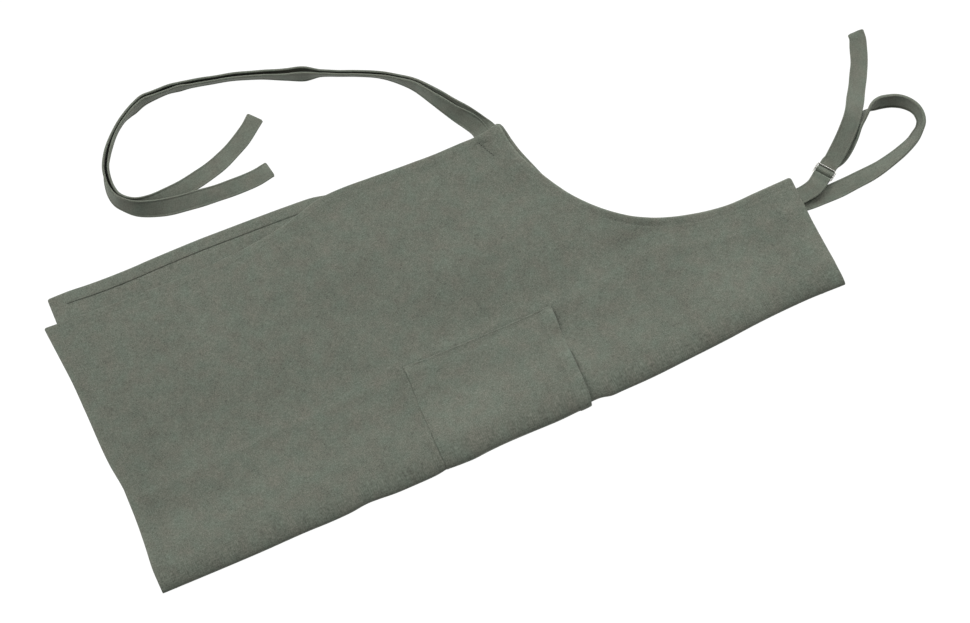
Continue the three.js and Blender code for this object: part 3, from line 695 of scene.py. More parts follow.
def woven_canvas(cloth, name="woven_cotton_canvas", contrast=1.0):
    """Cotton canvas, yarn-dyed and plain woven: matte, with flecks of lighter and darker yarn."""
    if name in bpy.data.materials:
        return bpy.data.materials[name]
    material, tree, shader = new_material(name)
    flat = add_node(tree, "ShaderNodeUVMap", uv_map="flat_cloth").outputs["UV"]

    def noise(vector, size, detail=2.0, dimensions="2D"):
        inputs = {"Vector": vector, "Scale": 1 / size, "Detail": detail}
        return add_node(tree, "ShaderNodeTexNoise", inputs, noise_dimensions=dimensions).outputs["Fac"]

    def streaks(long, wide):
        inputs = {"Vector": flat, "Scale": (1 / long, 1 / wide, 1)}
        return noise(add_node(tree, "ShaderNodeMapping", inputs).outputs[0], 1.0)

    def calculate(operation, *values):
        return add_node(tree, "ShaderNodeMath", dict(enumerate(values)), operation=operation).outputs[0]

    # Yarns run the length and the width of the cloth, and short flecks lie between.
    yarn = calculate("ADD", streaks(*WARP_STREAK), streaks(*WEFT_STREAK))
    mixed = calculate("MULTIPLY", yarn, YARN_SHARE * contrast)
    specks = calculate("MULTIPLY_ADD", noise(flat, FLECK), YARN_SHARE * contrast, mixed)
    # Clouds of shade a finger wide, and slow drifts nearly a hand's breadth apart.
    clouded = calculate("MULTIPLY_ADD", noise(flat, CLOUD), CLOUD_SHARE, specks)
    shade = calculate("MULTIPLY_ADD", noise(flat, DRIFT), DRIFT_SHARE, clouded)
    # The attribute holds rubbed wear together with painted highlights and painted shade.
    wear_and_shade = add_node(tree, "ShaderNodeAttribute", attribute_name="wear_and_shade").outputs["Fac"]
    worn = calculate("MULTIPLY_ADD", wear_and_shade, WEAR_AND_SHADE_SHARE, shade)
    # Each noise is one half on average, so that dark and light yarn come out even.
    middle = 1.5 * YARN_SHARE * contrast + 0.5 * (CLOUD_SHARE + DRIFT_SHARE) - 0.5
    centred = calculate("SUBTRACT", worn, middle)
    # The dye took a little cooler or warmer in patches of about two centimetres.
    dye = noise(flat, DYE_PATCH, 3.0, "3D")
    patch = add_node(tree, "ShaderNodeMapRange", {"Value": dye, "From Min": 0.3, "From Max": 0.7})
    light = add_node(tree, "ShaderNodeMixRGB", {"Fac": patch.outputs[0], "Color1": cloth.light_thread,
                                                "Color2": cloth.warm_thread})
    colour = add_node(tree, "ShaderNodeMixRGB", {"Fac": centred, "Color1": cloth.dark_thread,
                                                 "Color2": light.outputs[0]})
    tree.links.new(colour.outputs[0], shader.inputs["Base Color"])
    # Over and under of the plain weave, drawn at 1.2 mm so that it shows close up.
    cell = add_node(tree, "ShaderNodeMapping", {"Vector": flat, "Scale": (1 / MM, 1 / MM, 1)}).outputs[0]
    bands = {"Vector": cell, "Scale": 0.26, "Distortion": 0.4}
    over = add_node(tree, "ShaderNodeTexWave", bands, bands_direction="X").outputs["Fac"]
    under = add_node(tree, "ShaderNodeTexWave", bands, bands_direction="Y").outputs["Fac"]
    relief = calculate("MULTIPLY_ADD", calculate("MULTIPLY", over, under), 0.6, specks)
    bump = add_node(tree, "ShaderNodeBump", {"Height": relief, "Strength": 0.35, "Distance": 0.0004})
    tree.links.new(bump.outputs[0], shader.inputs["Normal"])
    rough = add_node(tree, "ShaderNodeMapRange", {"Value": specks, "From Min": 0.3, "From Max": 0.9,
                                                  "To Min": 0.98, "To Max": 0.86})
    tree.links.new(rough.outputs[0], shader.inputs["Roughness"])
    shader.inputs["IOR"].default_value = 1.45
    shader.inputs["Specular IOR Level"].default_value = 0.25
    shader.inputs["Sheen Weight"].default_value = 0.12
    shader.inputs["Sheen Roughness"].default_value = 0.5
    return material


def pressed_tape(cloth):
    """The same canvas folded and pressed into tape: its yarns lie flatter, so it looks smoother."""
    return woven_canvas(cloth, "pressed_canvas_tape", TAPE_CONTRAST)


def sewing_thread(cloth, shade):
    """Polyester core thread, twisted: a little smoother than the canvas, with a faint shine."""
    name = "twisted_sewing_thread_" + shade
    if name in bpy.data.materials:
        return bpy.data.materials[name]
    material, tree, shader = new_material(name)
    flat = add_node(tree, "ShaderNodeUVMap", uv_map="flat_cloth").outputs["UV"]
    # The thread's twist, one turn in 0.8 mm.
    turns = add_node(tree, "ShaderNodeMapping", {"Vector": flat, "Scale": (1250, 160, 1)})
    twist = add_node(tree, "ShaderNodeTexWave", {"Vector": turns.outputs[0], "Scale": 0.314},
                     bands_direction="DIAGONAL")
    bump = add_node(tree, "ShaderNodeBump", {"Height": twist.outputs["Fac"], "Strength": 0.3,
                                             "Distance": 0.0001})
    tree.links.new(bump.outputs[0], shader.inputs["Normal"])
    colour = cloth.matched_thread if shade == "matched" else cloth.seam_thread
    shader.inputs["Base Color"].default_value = colour
    shader.inputs["Roughness"].default_value = 0.8
    return material


def nickel_plate(slider):
    """Nickel-plated steel wire: bright, fairly smooth, with patches of handling haze."""
    material, tree, shader = new_material("nickel_plated_wire")
    place = add_node(tree, "ShaderNodeTexCoord").outputs["Object"]
    # Handling haze in patches of about 2 mm.
    haze = add_node(tree, "ShaderNodeTexNoise", {"Vector": place, "Scale": 1 / 0.002, "Detail": 3.0})
    rough = add_node(tree, "ShaderNodeMapRange", {"Value": haze.outputs["Fac"], "From Min": 0.3,
                                                  "From Max": 0.7, "To Min": 0.32, "To Max": 0.46})
    tree.links.new(rough.outputs[0], shader.inputs["Roughness"])
    shader.inputs["Base Color"].default_value = slider.plating
    shader.inputs["Metallic"].default_value = 1.0
    return material


def finish_piece(piece, material, slot, *nodes):
    """A piece's material and body, and the CAD nodes that it replaces. The slot is not used."""
    piece.data.materials.append(material)
    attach(piece, "root")
    if nodes:
        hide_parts(*nodes)


def hem_step(off, hem):
    """How the right side of a turned hem stands up over its inner fold."""
    return HEM_STEP * (1 - ease(off, hem - 1, hem + 2.5))


def seam_groove(off, at):
    """Depth of the shallow groove that a line of stitches pulls into the cloth."""
    return GROOVE * bell(off - at, GROOVE_WIDTH)


def edge_wear(off):
    """Rubbed lighter at a turned edge."""
    return EDGE_WEAR * np.exp(-off / EDGE_WEAR_RUN)


def from_line(x, y, line):
    """Distance of points from a line of a few straight parts."""
    near = np.full(np.shape(x), 1e9)
    for (ax, ay), (bx, by) in zip(line, line[1:]):
        dx, dy = bx - ax, by - ay
        part = np.clip(((x - ax) * dx + (y - ay) * dy) / (dx ** 2 + dy ** 2), 0, 1)
        near = np.minimum(near, np.hypot(x - ax - part * dx, y - ay - part * dy))
    return near


def rounded(off):
    """Share of a wall's thickness left near a turned edge, so that the edge is round."""
    part = np.clip(off / EDGE_ROUND, 0, 1)
    return np.sqrt(np.clip(1 - (1 - part) ** 2, 0.05, 1))


# Bare hem at the bottom layer's side: distance from the edge on each face, and part of the turn.
# The inner face runs in under the turned edge, so that a dark gap shows there.
OPEN_HEM = (
    (18, 18, 0), (16.3, 15.9, 0), (15.5, 14.1, 0), (15.1, 12.1, 0.02), (14.8, 12, 0.2),
    (14.5, 13.9, 0.3), (14.2, 14.45, 0.5), (13.9, 14.4, 0.75), (13.5, 13.9, 0.95), (12.7, 12.9, 1),
    (11.8, 11.8, 0.98), (9, 9, 1), (5, 5, 1.02), (2.4, 2.4, 1), (1.1, 1.1, 0.95), (0.4, 0.4, 0.9),
    (0, 0, 0.9),
)
OPEN_HEM_SEAM = 11.8
OPEN_HEM_START = (15, 26)
OPEN_HEM_END = (250, 330)


def panel_lines():
    """Rows of the panel by their distance along the open edge, and the lines that they end on."""
    (skirt, bib), (skirt_in, bib_in) = edge_and_inset(TOP_SIDE)
    low_edge, low_inset = edge_and_inset(BOTTOM_SIDE)
    skirt_long, bib_long = arc(skirt)[-1], arc(bib)[-1]
    rows = row_parts(skirt_long, bib_long)
    below = rows <= skirt_long

    def split(pair):
        ends = at_part(pair[1], (rows - skirt_long).clip(0) / bib_long)
        ends[below] = at_part(pair[0], rows[below] / skirt_long)
        return ends

    total = skirt_long + bib_long
    on_fold = ((0, 0), (120, 120), (skirt_long, 512), (total - 70, LENGTH - 70), (total, LENGTH))
    fold_x = along_table(on_fold, rows)
    lines = [split(pair) for pair in ((skirt, bib), (skirt_in, bib_in), low_edge, low_inset)]
    return rows, total, fold_x, lines


def top_grid(cloth, lines):
    """The top layer's two faces, its flat cloth, each point's distance from the edges, and its wear with
    painted light and shade.
    """
    rows, total, fold_x, (edge, inset, _, _) = lines
    from_skirt, from_bib = rows[:, None], (total - rows)[:, None]
    fold = np.stack([fold_x, fold_centre(fold_x)], -1)
    steps = np.array(hem_steps(SIDE_HEM))
    hem = edge[:, None] + (inset - edge)[:, None] * (steps / INSET)[None, :, None]

    # From the hem to the crease, and from the crease to the fold.
    share = np.full(len(rows), 0.6)
    for _ in range(6):
        x = inset[:, 0] + (fold[:, 0] - inset[:, 0]) * share
        share = (inset[:, 1] - crease_line(x)) / (inset[:, 1] - fold[:, 1])
    crease = inset + (fold - inset) * share[:, None]
    to_crease = 1 - (1 - np.linspace(0, 1, WIDE_COLUMNS)) ** CROWDING
    to_fold = np.linspace(0, 1, NARROW_COLUMNS)[1:-1] ** CROWDING
    wide = inset[:, None] + (crease - inset)[:, None] * to_crease[None, :, None]
    narrow = crease[:, None] + (fold - crease)[:, None] * to_fold[None, :, None]
    flat = round_corners(np.concatenate([hem, wide, narrow], axis=1), TOP_SIDE, 0)
    x, y = flat[..., 0], flat[..., 1]
    off = np.full(x.shape, FAR)
    off[:, :len(steps)] = steps

    hems = ((off, SIDE_HEM), (from_skirt, SKIRT_HEM), (from_bib, BIB_HEM))
    bare = ease(x, *LOW_SIDE)
    turned = 0.2 + 0.8 * bare
    steps_up = [hem_step(far, hem) * part + 0 * x for (far, hem), part in zip(hems, (turned, 1, 1))]
    step = np.maximum.reduce(steps_up)
    groove = sum(seam_groove(far, hem - SEAM_IN) for far, hem in hems)
    hemmed = np.logical_or.reduce([far + 0 * x < hem for far, hem in hems])
    ends = np.minimum(from_skirt, from_bib)
    edges = np.minimum(off, ends)
    puckers = 0.18 * ripple(x, y, 11, 13) * np.exp(-edges / 18)
    lie = slow_waves(x, y) * ease(np.minimum(off, 40), 0, 40)
    root = from_line(x, y, ROOT_SEAM)
    dents = -1.3 * bell(root, 5) + 0.5 * ripple(x, y, 21, 14) * bell(root, 16)
    # The edge lies close on the bottom layer along the skirt's open side and past the waist corner.
    tip = rows[waist_tip(edge)]
    along, across, flat_reach, reach, rise = SEWN_CORNERS[0]
    sewn = rise * (1 - ease(np.hypot(x - along, y - across), flat_reach, reach))
    close = sewn * ease(from_skirt, tip + 4, tip + 24)
    low = close * (1 - ease(off, 0, 14)) + 1.2 * (1 - bare) * (1 - ease(off, 0, 25))
    # In the hollow of the armhole the hem curls up.
    hollow = bell(x - ARMHOLE_HOLLOW, HOLLOW_REACH) * ease(from_skirt, tip, tip + 40)
    curl = HOLLOW_CURL * hollow * (1 - ease(off, 1, 11))
    z = top_height(x, y) + step - groove + puckers + lie + dents - low + curl
    out = np.stack([top_place(x, y), y, z], -1)
    tab = 1 - ease(np.hypot(x - TAB_ROOT[0], y - TAB_ROOT[1]), 13, 19)
    wall = cloth.thickness + step + cloth.hem_turn * hemmed * (1 - tab) * turned
    under = out - np.stack([0 * wall, 0 * wall, wall], -1)

    # The turned edges are rubbed lighter, and the armhole's hem is lighter along its inner fold. Painted
    # highlights run along the armhole's edge and just inside the crease's ridge, with painted shade on the
    # crease's far side.
    past = y - crease_line(x)
    worn = np.maximum(edge_wear(off) * bare, edge_wear(ends))
    painted_armhole_highlight = 2.2 * bell(off, 2) * ease(from_skirt, tip - 20, tip + 5)
    armhole_hem = 0.7 * bell(off - SIDE_HEM, 0.9) * ease(from_skirt, tip + 10, tip + 50)
    painted_crease_shading = bell(past + 3.2, 2.4) - 0.1 * ease(past, 0, 40)
    # Painted shade: a shadow right of the pocket's mouth and along it, a shadow line just beyond the
    # pocket's upper edge, shade in the armhole's hollow and its curled hem, and shade round the tie's root.
    # The stitch grooves are a little darker too.
    beside = top_place(x, y) - POCKET_MOUTH - POCKET_MOUTH_SKEW * np.clip(y / POCKET_REACH, 0, 1)
    mouth_shadow = 0.9 * bell(beside, 17) * bell(y - 107, 11) + 0.25 * bell(beside, 7) * (past < 0)
    pocket_edge_shadow = 0.7 * bell(past - 2, 1.2) * ((x > POCKET_BOTTOM) & (beside < 0))
    armhole_hollow_shade = 0.9 * bell(x - 655, 40) * bell(y - 158, 14)
    curl_shade = 0.9 * hollow * ease(off, 1, 4) * (1 - ease(off, 9, 12))
    root_shade_and_seam_darkening = 0.2 * groove / GROOVE + 0.8 * bell(root, 7)
    lighter = worn + painted_armhole_highlight + armhole_hem + painted_crease_shading
    wear_and_shade = lighter - mouth_shadow - pocket_edge_shadow - armhole_hollow_shade - curl_shade - root_shade_and_seam_darkening
    return out, under, flat, edges, wear_and_shade


def bottom_grid(cloth, lines):
    """The bottom layer from the fold to its bare hem, in the same way."""
    rows, total, fold_x, (_, _, edge, inset) = lines
    from_skirt, from_bib = rows[:, None], (total - rows)[:, None]
    fold = np.stack([fold_x, fold_centre(fold_x)], -1)
    plain = fold[:, None] + (inset - fold)[:, None] * np.linspace(0, 1, LOW_COLUMNS)[None, 1:, None]
    out_off, in_off, turned = np.array(OPEN_HEM).T
    bare = ease(rows, *OPEN_HEM_START)[:, None]
    in_off = out_off + (in_off - out_off) * bare
    side = (inset - edge)[:, None] / INSET
    faces = [edge[:, None] + side * far[..., None] for far in (out_off[None, :] + 0 * bare, in_off)]
    faces = [np.concatenate([plain, face], axis=1) for face in faces]
    faces = [round_corners(face, BOTTOM_SIDE, BOTTOM_INSET) for face in faces]
    off = np.full(faces[0].shape[:2], FAR)
    off[:, plain.shape[1]:] = out_off

    covered = ease(fold_x, *OPEN_HEM_END)[:, None]
    turn = np.zeros(off.shape)
    side_turn = cloth.open_hem_turn * (1 - covered) + cloth.hem_turn * covered
    turn[:, plain.shape[1]:] = side_turn * bare * turned
    turn = np.maximum(turn, cloth.hem_turn * ((from_skirt < SKIRT_HEM) | (from_bib < BIB_HEM)))
    (ox, oy), (ix, iy) = (np.moveaxis(face, -1, 0) for face in faces)
    out = np.stack([bottom_place(ox, oy), oy, pocket_lift(ox, oy)], -1)
    under = np.stack([bottom_place(ix, iy), iy, pocket_lift(ix, iy) + cloth.thickness + turn], -1)
    edges = np.minimum(off, np.minimum(from_skirt, from_bib))
    return out, under, faces[0] * (1, -1), edges, edge_wear(edges)


def panel_grids(cloth):
    """The whole panel's two faces, from the top layer's open side round the fold to the other."""
    lines = panel_lines()
    rows, total, fold_x, _ = lines
    bend, way = fold_points(fold_x)
    ends = np.minimum(rows, total - rows)[:, None] + 0 * bend[..., 0]
    hemmed = (rows < SKIRT_HEM) | (total - rows < BIB_HEM)
    wall = cloth.thickness + cloth.hem_turn * hemmed[:, None, None]
    round_fold = np.linspace(1, -1, len(FOLD_ANGLES))[None, :] * fold_centre(fold_x)[:, None]
    flat = np.stack([fold_x[:, None] + 0 * round_fold, round_fold], -1)
    fold = (bend, bend - way * wall, flat, ends, edge_wear(ends))
    parts = zip(top_grid(cloth, lines), fold, bottom_grid(cloth, lines))
    outer, inner, flat, edges, wear_and_shade = (np.concatenate(part, axis=1) for part in parts)
    outer, inner = round_edges(outer, inner, edges)
    return outer, inner, flat, wear_and_shade


def round_edges(outer, inner, off):
    """Both faces drawn together near their open edges."""
    middle, keep = (outer + inner) / 2, rounded(off)[..., None]
    return middle + (outer - middle) * keep, middle + (inner - middle) * keep


def grid_normals(grid):
    """The way out of the cloth at each point of a grid."""
    return unit(np.cross(np.gradient(grid, axis=1), np.gradient(grid, axis=0)))


class APRON_OT_panel(bpy.types.Operator):
    """Bib and skirt cut in one, folded in half, with turned and stitched hems and a pressed crease"""

    bl_idname = "apron.panel"
    bl_label = "Apron panel"

    def execute(self, context):
        cloth = context.scene.apron_cloth
        outer, inner, flat, wear_and_shade = panel_grids(cloth)
        panel = closed_sheet("apron_cloth", outer, inner, flat, wear_and_shade)
        rows, total, _, _ = panel_lines()
        normals, inside = grid_normals(outer), grid_normals(inner)
        count, columns = outer.shape[:2]
        row = np.arange(count, dtype=float)
        between = row[(rows > SKIRT_HEM - SEAM_IN) & (rows < total - BIB_HEM + SEAM_IN)]
        steps = hem_steps(SIDE_HEM)
        side = np.interp(SIDE_HEM - SEAM_IN, steps, np.arange(len(steps)))
        out_off = [step[0] for step in OPEN_HEM[::-1]]
        low_side = columns - 1 - np.interp(OPEN_HEM_SEAM, out_off, np.arange(len(OPEN_HEM)))
        lines = ((outer, normals, side), (outer, normals, low_side), (inner, -inside, low_side))
        runs = [seam_run(cloth, grid, out, between, np.full(len(between), at)) for grid, out, at in lines]
        across = np.arange(2.0, columns - 2.0)
        for at in (SKIRT_HEM - SEAM_IN, total - BIB_HEM + SEAM_IN):
            at_row = np.full(len(across), np.interp(at, rows, row))
            runs.append(seam_run(cloth, outer, normals, at_row, across))
        stitches = stitches_object("apron_stitches", runs)

        # The tie's root seam lies on the nearest points of the top layer, with its heights evened out.
        spots = smooth_line(ROOT_SEAM, 12)
        plan, heights = outer[..., :2].reshape(-1, 2), outer[..., 2].ravel()
        near = [np.argmin(np.hypot(*(plan - spot).T) - 0.5 * heights) for spot in spots]
        even = np.convolve(np.pad(heights[near], 4, "edge"), np.ones(9) / 9, "valid")
        line, up = np.column_stack([spots, even]), np.tile((0, 0, 1.0), (len(spots), 1))
        root = stitches_object("tie_root_stitches", [stitch_run(line, up, *ROOT_STITCH)])
        finish_piece(panel, woven_canvas(cloth), "cloth", "apron_panel")
        finish_piece(stitches, sewing_thread(cloth, "matched"), "cloth")
        finish_piece(root, sewing_thread(cloth, "dark"), "cloth")
        return {"FINISHED"}


def pocket_grids(cloth):
    """The pocket follows the panel's right side, and gapes at the fold near its mouth."""
    deep = POCKET_MOUTH - POCKET_BOTTOM
    start = np.array(SEWN_STEPS + (10.5,))
    mouth = deep - np.array(hem_steps(POCKET_HEM))[::-1]
    from_bottom = np.concatenate([start, np.linspace(start[-1], mouth[0], POCKET_ROWS)[1:-1], mouth])
    x = POCKET_BOTTOM + from_bottom
    from_mouth = deep - from_bottom
    crease = crease_line(x) - POCKET_INSET
    fold = fold_centre(x)
    steps = np.array(SEWN_STEPS)
    share = np.linspace(0, 1, POCKET_COLUMNS)[1:-1]
    begin = (crease + 1.6 * (1 - ease(from_bottom, 0, 30)))[:, None] - steps[None, :]
    beyond = begin[:, -1:] + (fold[:, None] - begin[:, -1:]) * share[None, :]
    y_top = np.concatenate([begin, beyond], axis=1)
    finish = POCKET_REACH - steps[::-1]
    y_low = np.concatenate([fold[:, None] + (finish[0] - fold)[:, None] * share[None, :],
                            np.broadcast_to(finish, (len(x), len(finish)))], axis=1)
    bend, way = fold_points(x)
    xt = np.broadcast_to(x[:, None], y_top.shape)
    xl = np.broadcast_to(x[:, None], y_low.shape)
    up, down = np.array((0, 0, 1.0)), np.array((0, 0, -1.0))
    top_z = top_height(xt, y_top) + slow_waves(xt, y_top)
    top = np.stack([top_place(xt, y_top), y_top, top_z], -1)
    low = np.stack([bottom_place(xl, y_low), y_low, pocket_lift(xl, y_low)], -1)
    base = np.concatenate([top, bend, low], axis=1)
    out = np.concatenate([np.broadcast_to(up, top.shape), way, np.broadcast_to(down, low.shape)], axis=1)
    gape = MOUTH_GAPE * ease(x, POCKET_MOUTH - MOUTH_RUN, POCKET_MOUTH)
    bulge = np.concatenate([np.zeros(y_top.shape), gape[:, None] * np.cos(FOLD_ANGLES)[None, :] ** 3,
                            np.zeros(y_low.shape)], axis=1)
    skew = POCKET_MOUTH_SKEW * np.clip(base[..., 1] / POCKET_REACH, 0, 1) * (from_bottom / deep)[:, None]
    # Round the fold the mouth draws back.
    upper = y_top.shape[1] + len(FOLD_ANGLES)
    drawn = np.zeros(base.shape[:2])
    near_mouth = MOUTH_DRAWN * ease(from_bottom, deep - 25, deep)[:, None]
    drawn[:, y_top.shape[1]:upper] = near_mouth * np.cos(FOLD_ANGLES)[None, :] ** 4
    side_skew = along_table(POCKET_SIDE, np.clip(base[..., 1], 0, POCKET_REACH))
    base[..., 0] += skew - drawn + side_skew * (1 - from_bottom / deep)[:, None]
    side_off = np.full(base.shape[:2], FAR)
    side_off[:, :len(steps)] = steps
    side_off[:, -len(steps):] = steps[::-1]
    columns = np.arange(side_off.shape[1])[None, :]
    sewn = np.minimum(side_off, from_bottom[:, None])
    groove = seam_groove(sewn, POCKET_SEAM)
    hem = POCKET_HEM_STEP * hem_step(from_mouth, POCKET_HEM)[:, None]
    hem_groove = seam_groove(from_mouth, POCKET_HEM - SEAM_IN)[:, None]
    above = columns < upper
    belly = 0.9 * ease(side_off, 3, 30) * ease(from_bottom[:, None], 3, 40) * above
    # The mouth's edge stands off the apron in a few places, and the sewn edges pucker a little.
    open_to = along_table(MOUTH_STAND, base[..., 1])
    standing = open_to * (1 - ease(from_mouth[:, None], 0, 24)) * above
    flush = (1 - ease(open_to, -0.3, 0.5)) * (1 - ease(from_mouth[:, None], 2, 16)) * above
    puckers = np.clip(0.3 * ripple(base[..., 0], base[..., 1], 17, 12), -0.3, 0.5)
    # The lower side is pressed down flat along its seam.
    settled = (1 - ease(from_bottom, 1, 14))[:, None]
    puckers = puckers * (1 - ease(sewn, 2, 7)) * above * (1 - settled)
    turned = 0.35 * (1 - ease(sewn, 6, 9)) * (1 - settled) - 0.25 * settled
    wall = cloth.thickness + turned + hem - groove - hem_groove - 0.9 * flush
    floor = POCKET_GAP * (1 - 0.8 * settled) + bulge + belly * (1 - flush) + standing + puckers
    inner = base + out * floor[..., None]
    outer = base + out * (floor + np.clip(wall, POCKET_THINNEST, None))[..., None]
    off = np.minimum(sewn, from_mouth[:, None])
    outer, inner = round_edges(outer, inner, off)
    # Nothing of the lower half goes below the table.
    outer[..., 2] = np.maximum(outer[..., 2], POCKET_LOWEST[0])
    inner[..., 2] = np.maximum(inner[..., 2], POCKET_LOWEST[1])
    round_fold = np.linspace(1, -1, len(FOLD_ANGLES))[None, :] * fold[:, None]
    flat_y = np.concatenate([y_top, round_fold, -y_low], axis=1)
    flat = np.stack([np.broadcast_to(x[:, None], flat_y.shape), flat_y], -1) + POCKET_FLAT
    # Patchy strength of the painted shadow lines along the sewn edges.
    shadow_line_strength = np.clip(0.7 + 0.6 * ripple(base[..., 0], base[..., 1], 41, 24), 0, 1.4)
    # The rubbed hem with a painted highlight along its ridge and painted shade in the groove beside it,
    # painted shadow lines along the sewn edges, and the rubbed corners.
    hem_ridge_highlight = 0.6 * bell(from_mouth - POCKET_HEM + 1.2, 1.5)
    hem_groove_shade = 0.4 * bell(from_mouth - POCKET_HEM - 3.5, 2.5)
    rim = 0.2 * np.exp(-from_mouth / EDGE_WEAR_RUN)
    rubbed_hem_and_shading = 0.3 + rim + 0.15 * (from_mouth < POCKET_HEM) + hem_ridge_highlight - hem_groove_shade
    lines = 0.2 * bell(from_bottom, 0.7)[:, None] + 2.2 * bell(side_off - 1.4, 0.8)
    pale = 0.8 * (1 - ease(np.hypot(from_bottom[:, None], side_off), 10, 55))
    corner = np.minimum(from_bottom, from_mouth)[:, None] + 1.3 * side_off
    worn_corner = 2 * (1 - ease(corner, 11, 15)) * (sewn > 1)
    wear_and_shade = rubbed_hem_and_shading[:, None] - shadow_line_strength * lines + pale + worn_corner
    return outer, inner, flat, wear_and_shade, from_bottom


class APRON_OT_pocket(bpy.types.Operator):
    """Patch pocket wrapped round the centre fold, with a hemmed mouth and reinforced corners"""

    bl_idname = "apron.pocket"
    bl_label = "Pocket"

    def execute(self, context):
        cloth = context.scene.apron_cloth
        outer, inner, flat, wear_and_shade, from_bottom = pocket_grids(cloth)
        pocket = closed_sheet("pocket_cloth", outer, inner, flat, wear_and_shade)
        normals = grid_normals(outer)
        count, columns = outer.shape[:2]
        row = np.arange(count, dtype=float)
        first = float(np.interp(POCKET_SEAM, from_bottom, row))
        hem = float(np.interp(from_bottom[-1] - POCKET_HEM + SEAM_IN, from_bottom, row))
        side = float(np.interp(POCKET_SEAM, SEWN_STEPS, np.arange(len(SEWN_STEPS))))
        far_side = columns - 1 - side
        across = np.linspace(side, far_side, columns)
        along = np.linspace(first, count - 2, count)
        # Along the lower side and the mouth, then up both sides with a slanting seam at each corner.
        lines = [(np.full(columns, first), across), (np.full(columns, hem), across)]
        for at, back in ((side, side + CORNER_SLANT), (far_side, far_side - CORNER_SLANT)):
            lines.append((along, np.full(count, at)))
            lines.append((np.linspace(hem, count - 3, 12), np.linspace(back, at, 12)))
        runs = [seam_run(cloth, outer, normals, *line) for line in lines]
        stitches = stitches_object("pocket_stitches", runs)
        finish_piece(pocket, woven_canvas(cloth), "cloth", "pocket")
        finish_piece(stitches, sewing_thread(cloth, "matched"), "cloth")
        return {"FINISHED"}


# A strap's upper face: across as a part of half its width, out as a part of half its thickness.
STRAP_FACE = (
    (-1, 0), (-0.985, 0.75), (-0.94, 1.25), (-0.88, 1.35), (-0.81, 1.05), (-0.76, 0.8),
    (-0.7, 0.95), (-0.35, 1), (0, 1.02), (0.35, 1), (0.7, 0.95), (0.76, 0.8), (0.81, 1.05),
    (0.88, 1.35), (0.94, 1.25), (0.985, 0.75),
)


def strap_rings(stations):
    """Centre, across and out of a flat strap, ring by ring, with its width turned by the roll."""
    table = np.array(stations, float)
    plan = smooth_line(table[:, :2], STRAP_STEPS)
    posture = smooth_line(table[:, 2:], STRAP_STEPS)
    roll = np.radians(posture[:, 0])
    tall = STRAP_WIDTH * np.abs(np.sin(roll)) + STRAP_CLOTH * np.abs(np.cos(roll))
    centres = np.column_stack([plan, tall / 2 + np.maximum(posture[:, 1], 0)])
    across, out, side = [], [], None
    for way, turn in zip(heading(centres), roll):
        level = np.array((way[1], -way[0], 0.0))
        steep = np.linalg.norm(level) < STEEP
        if side is not None and (steep or level @ side < 0):
            level = side if steep else -level
        side = level / np.linalg.norm(level)
        wide = side * math.cos(turn) + np.array((0, 0, math.sin(turn)))
        wide -= way * (wide @ way)
        wide /= np.linalg.norm(wide)
        across.append(wide)
        out.append(np.cross(wide, way))
    return centres, np.array(across), np.array(out)


def strap_object(name, stations, far_hem=True, flat_shift=0.0, rim=1.0, end_cut=(0, 0)):
    """A folded tape, stitched along both rolled edges, with its far end turned over and hemmed."""
    centres, across, out = strap_rings(stations)
    far = arc(centres)
    left = far[-1] - far
    face = np.array(STRAP_FACE)
    ring = np.concatenate([face, -face])
    wide, high = ring.T
    half = TAPE_WIDTH / 2 * (1 + TAPE_WAVER * ripple(far, flat_shift, 51, 38))
    end = 1 - ease(left, 9.5, 10.8) if far_hem else 0 * left
    # Where the strap stands on edge its rolled edges open a little.
    rolled = 1 + (rim - 1) * np.abs(across[:, 2:]) * (np.abs(wide) > 0.8)[None, :]
    thick = STRAP_CLOTH / 2 * high[None, :] * rolled * (1 + 0.8 * end[:, None] * (high[None, :] > 0))
    # The far end is cut a little out of square, with soft corners.
    slant = end_cut[0] + (end_cut[1] - end_cut[0]) * ease(wide, -0.7, 0.9)
    cut = slant - 1.2 * ease(np.abs(wide), 0.75, 1)
    pull = (1 - ease(left, 0, 22))[:, None] * cut[None, :] * far_hem
    travel = np.cross(out, across)
    flat_y = half[:, None] * wide[None, :]
    points = (centres[:, None] + across[:, None] * flat_y[..., None] + out[:, None] * thick[..., None]
              + travel[:, None] * pull[..., None])
    points[..., 2] -= np.minimum(points[..., 2].min(axis=1), 0)[:, None]
    count, sides = points.shape[:2]
    ids = np.arange(count * sides).reshape(count, sides)
    after = np.roll(ids, -1, axis=1)
    faces = np.stack([ids[:-1], after[:-1], after[1:], ids[1:]], -1).reshape(-1, 4).tolist()
    faces += [ids[0, ::-1].tolist(), ids[-1].tolist()]
    # The far face's cloth lies beside the near one's in the UV map.
    flat_y = flat_y + np.where(high < 0, TAPE_FLAT_STEP, 0.0)
    flat = np.stack([(far + flat_shift)[:, None] + 0 * thick, flat_y], -1)
    # Dark along both seams, rubbed lighter at the edges and on the turned end.
    seams = np.where(np.abs(np.abs(wide) - 0.76) < 0.02, -0.35, 0.0)
    edges = np.where(np.abs(wide) > 0.9, 0.8, 0.0)
    worn_end = 1.3 * (1 - ease(left, 4, 9))[:, None] * far_hem * ease(wide, -0.7, 0.5)[None, :]
    wear_and_shade = (seams + edges)[None, :] + worn_end
    piece = cloth_object(name, points.reshape(-1, 3), faces, flat.reshape(-1, 2), wear_and_shade.ravel())
    if signed_volume(piece.data) < 0:
        piece.data.flip_normals()
    return piece, far[-1]


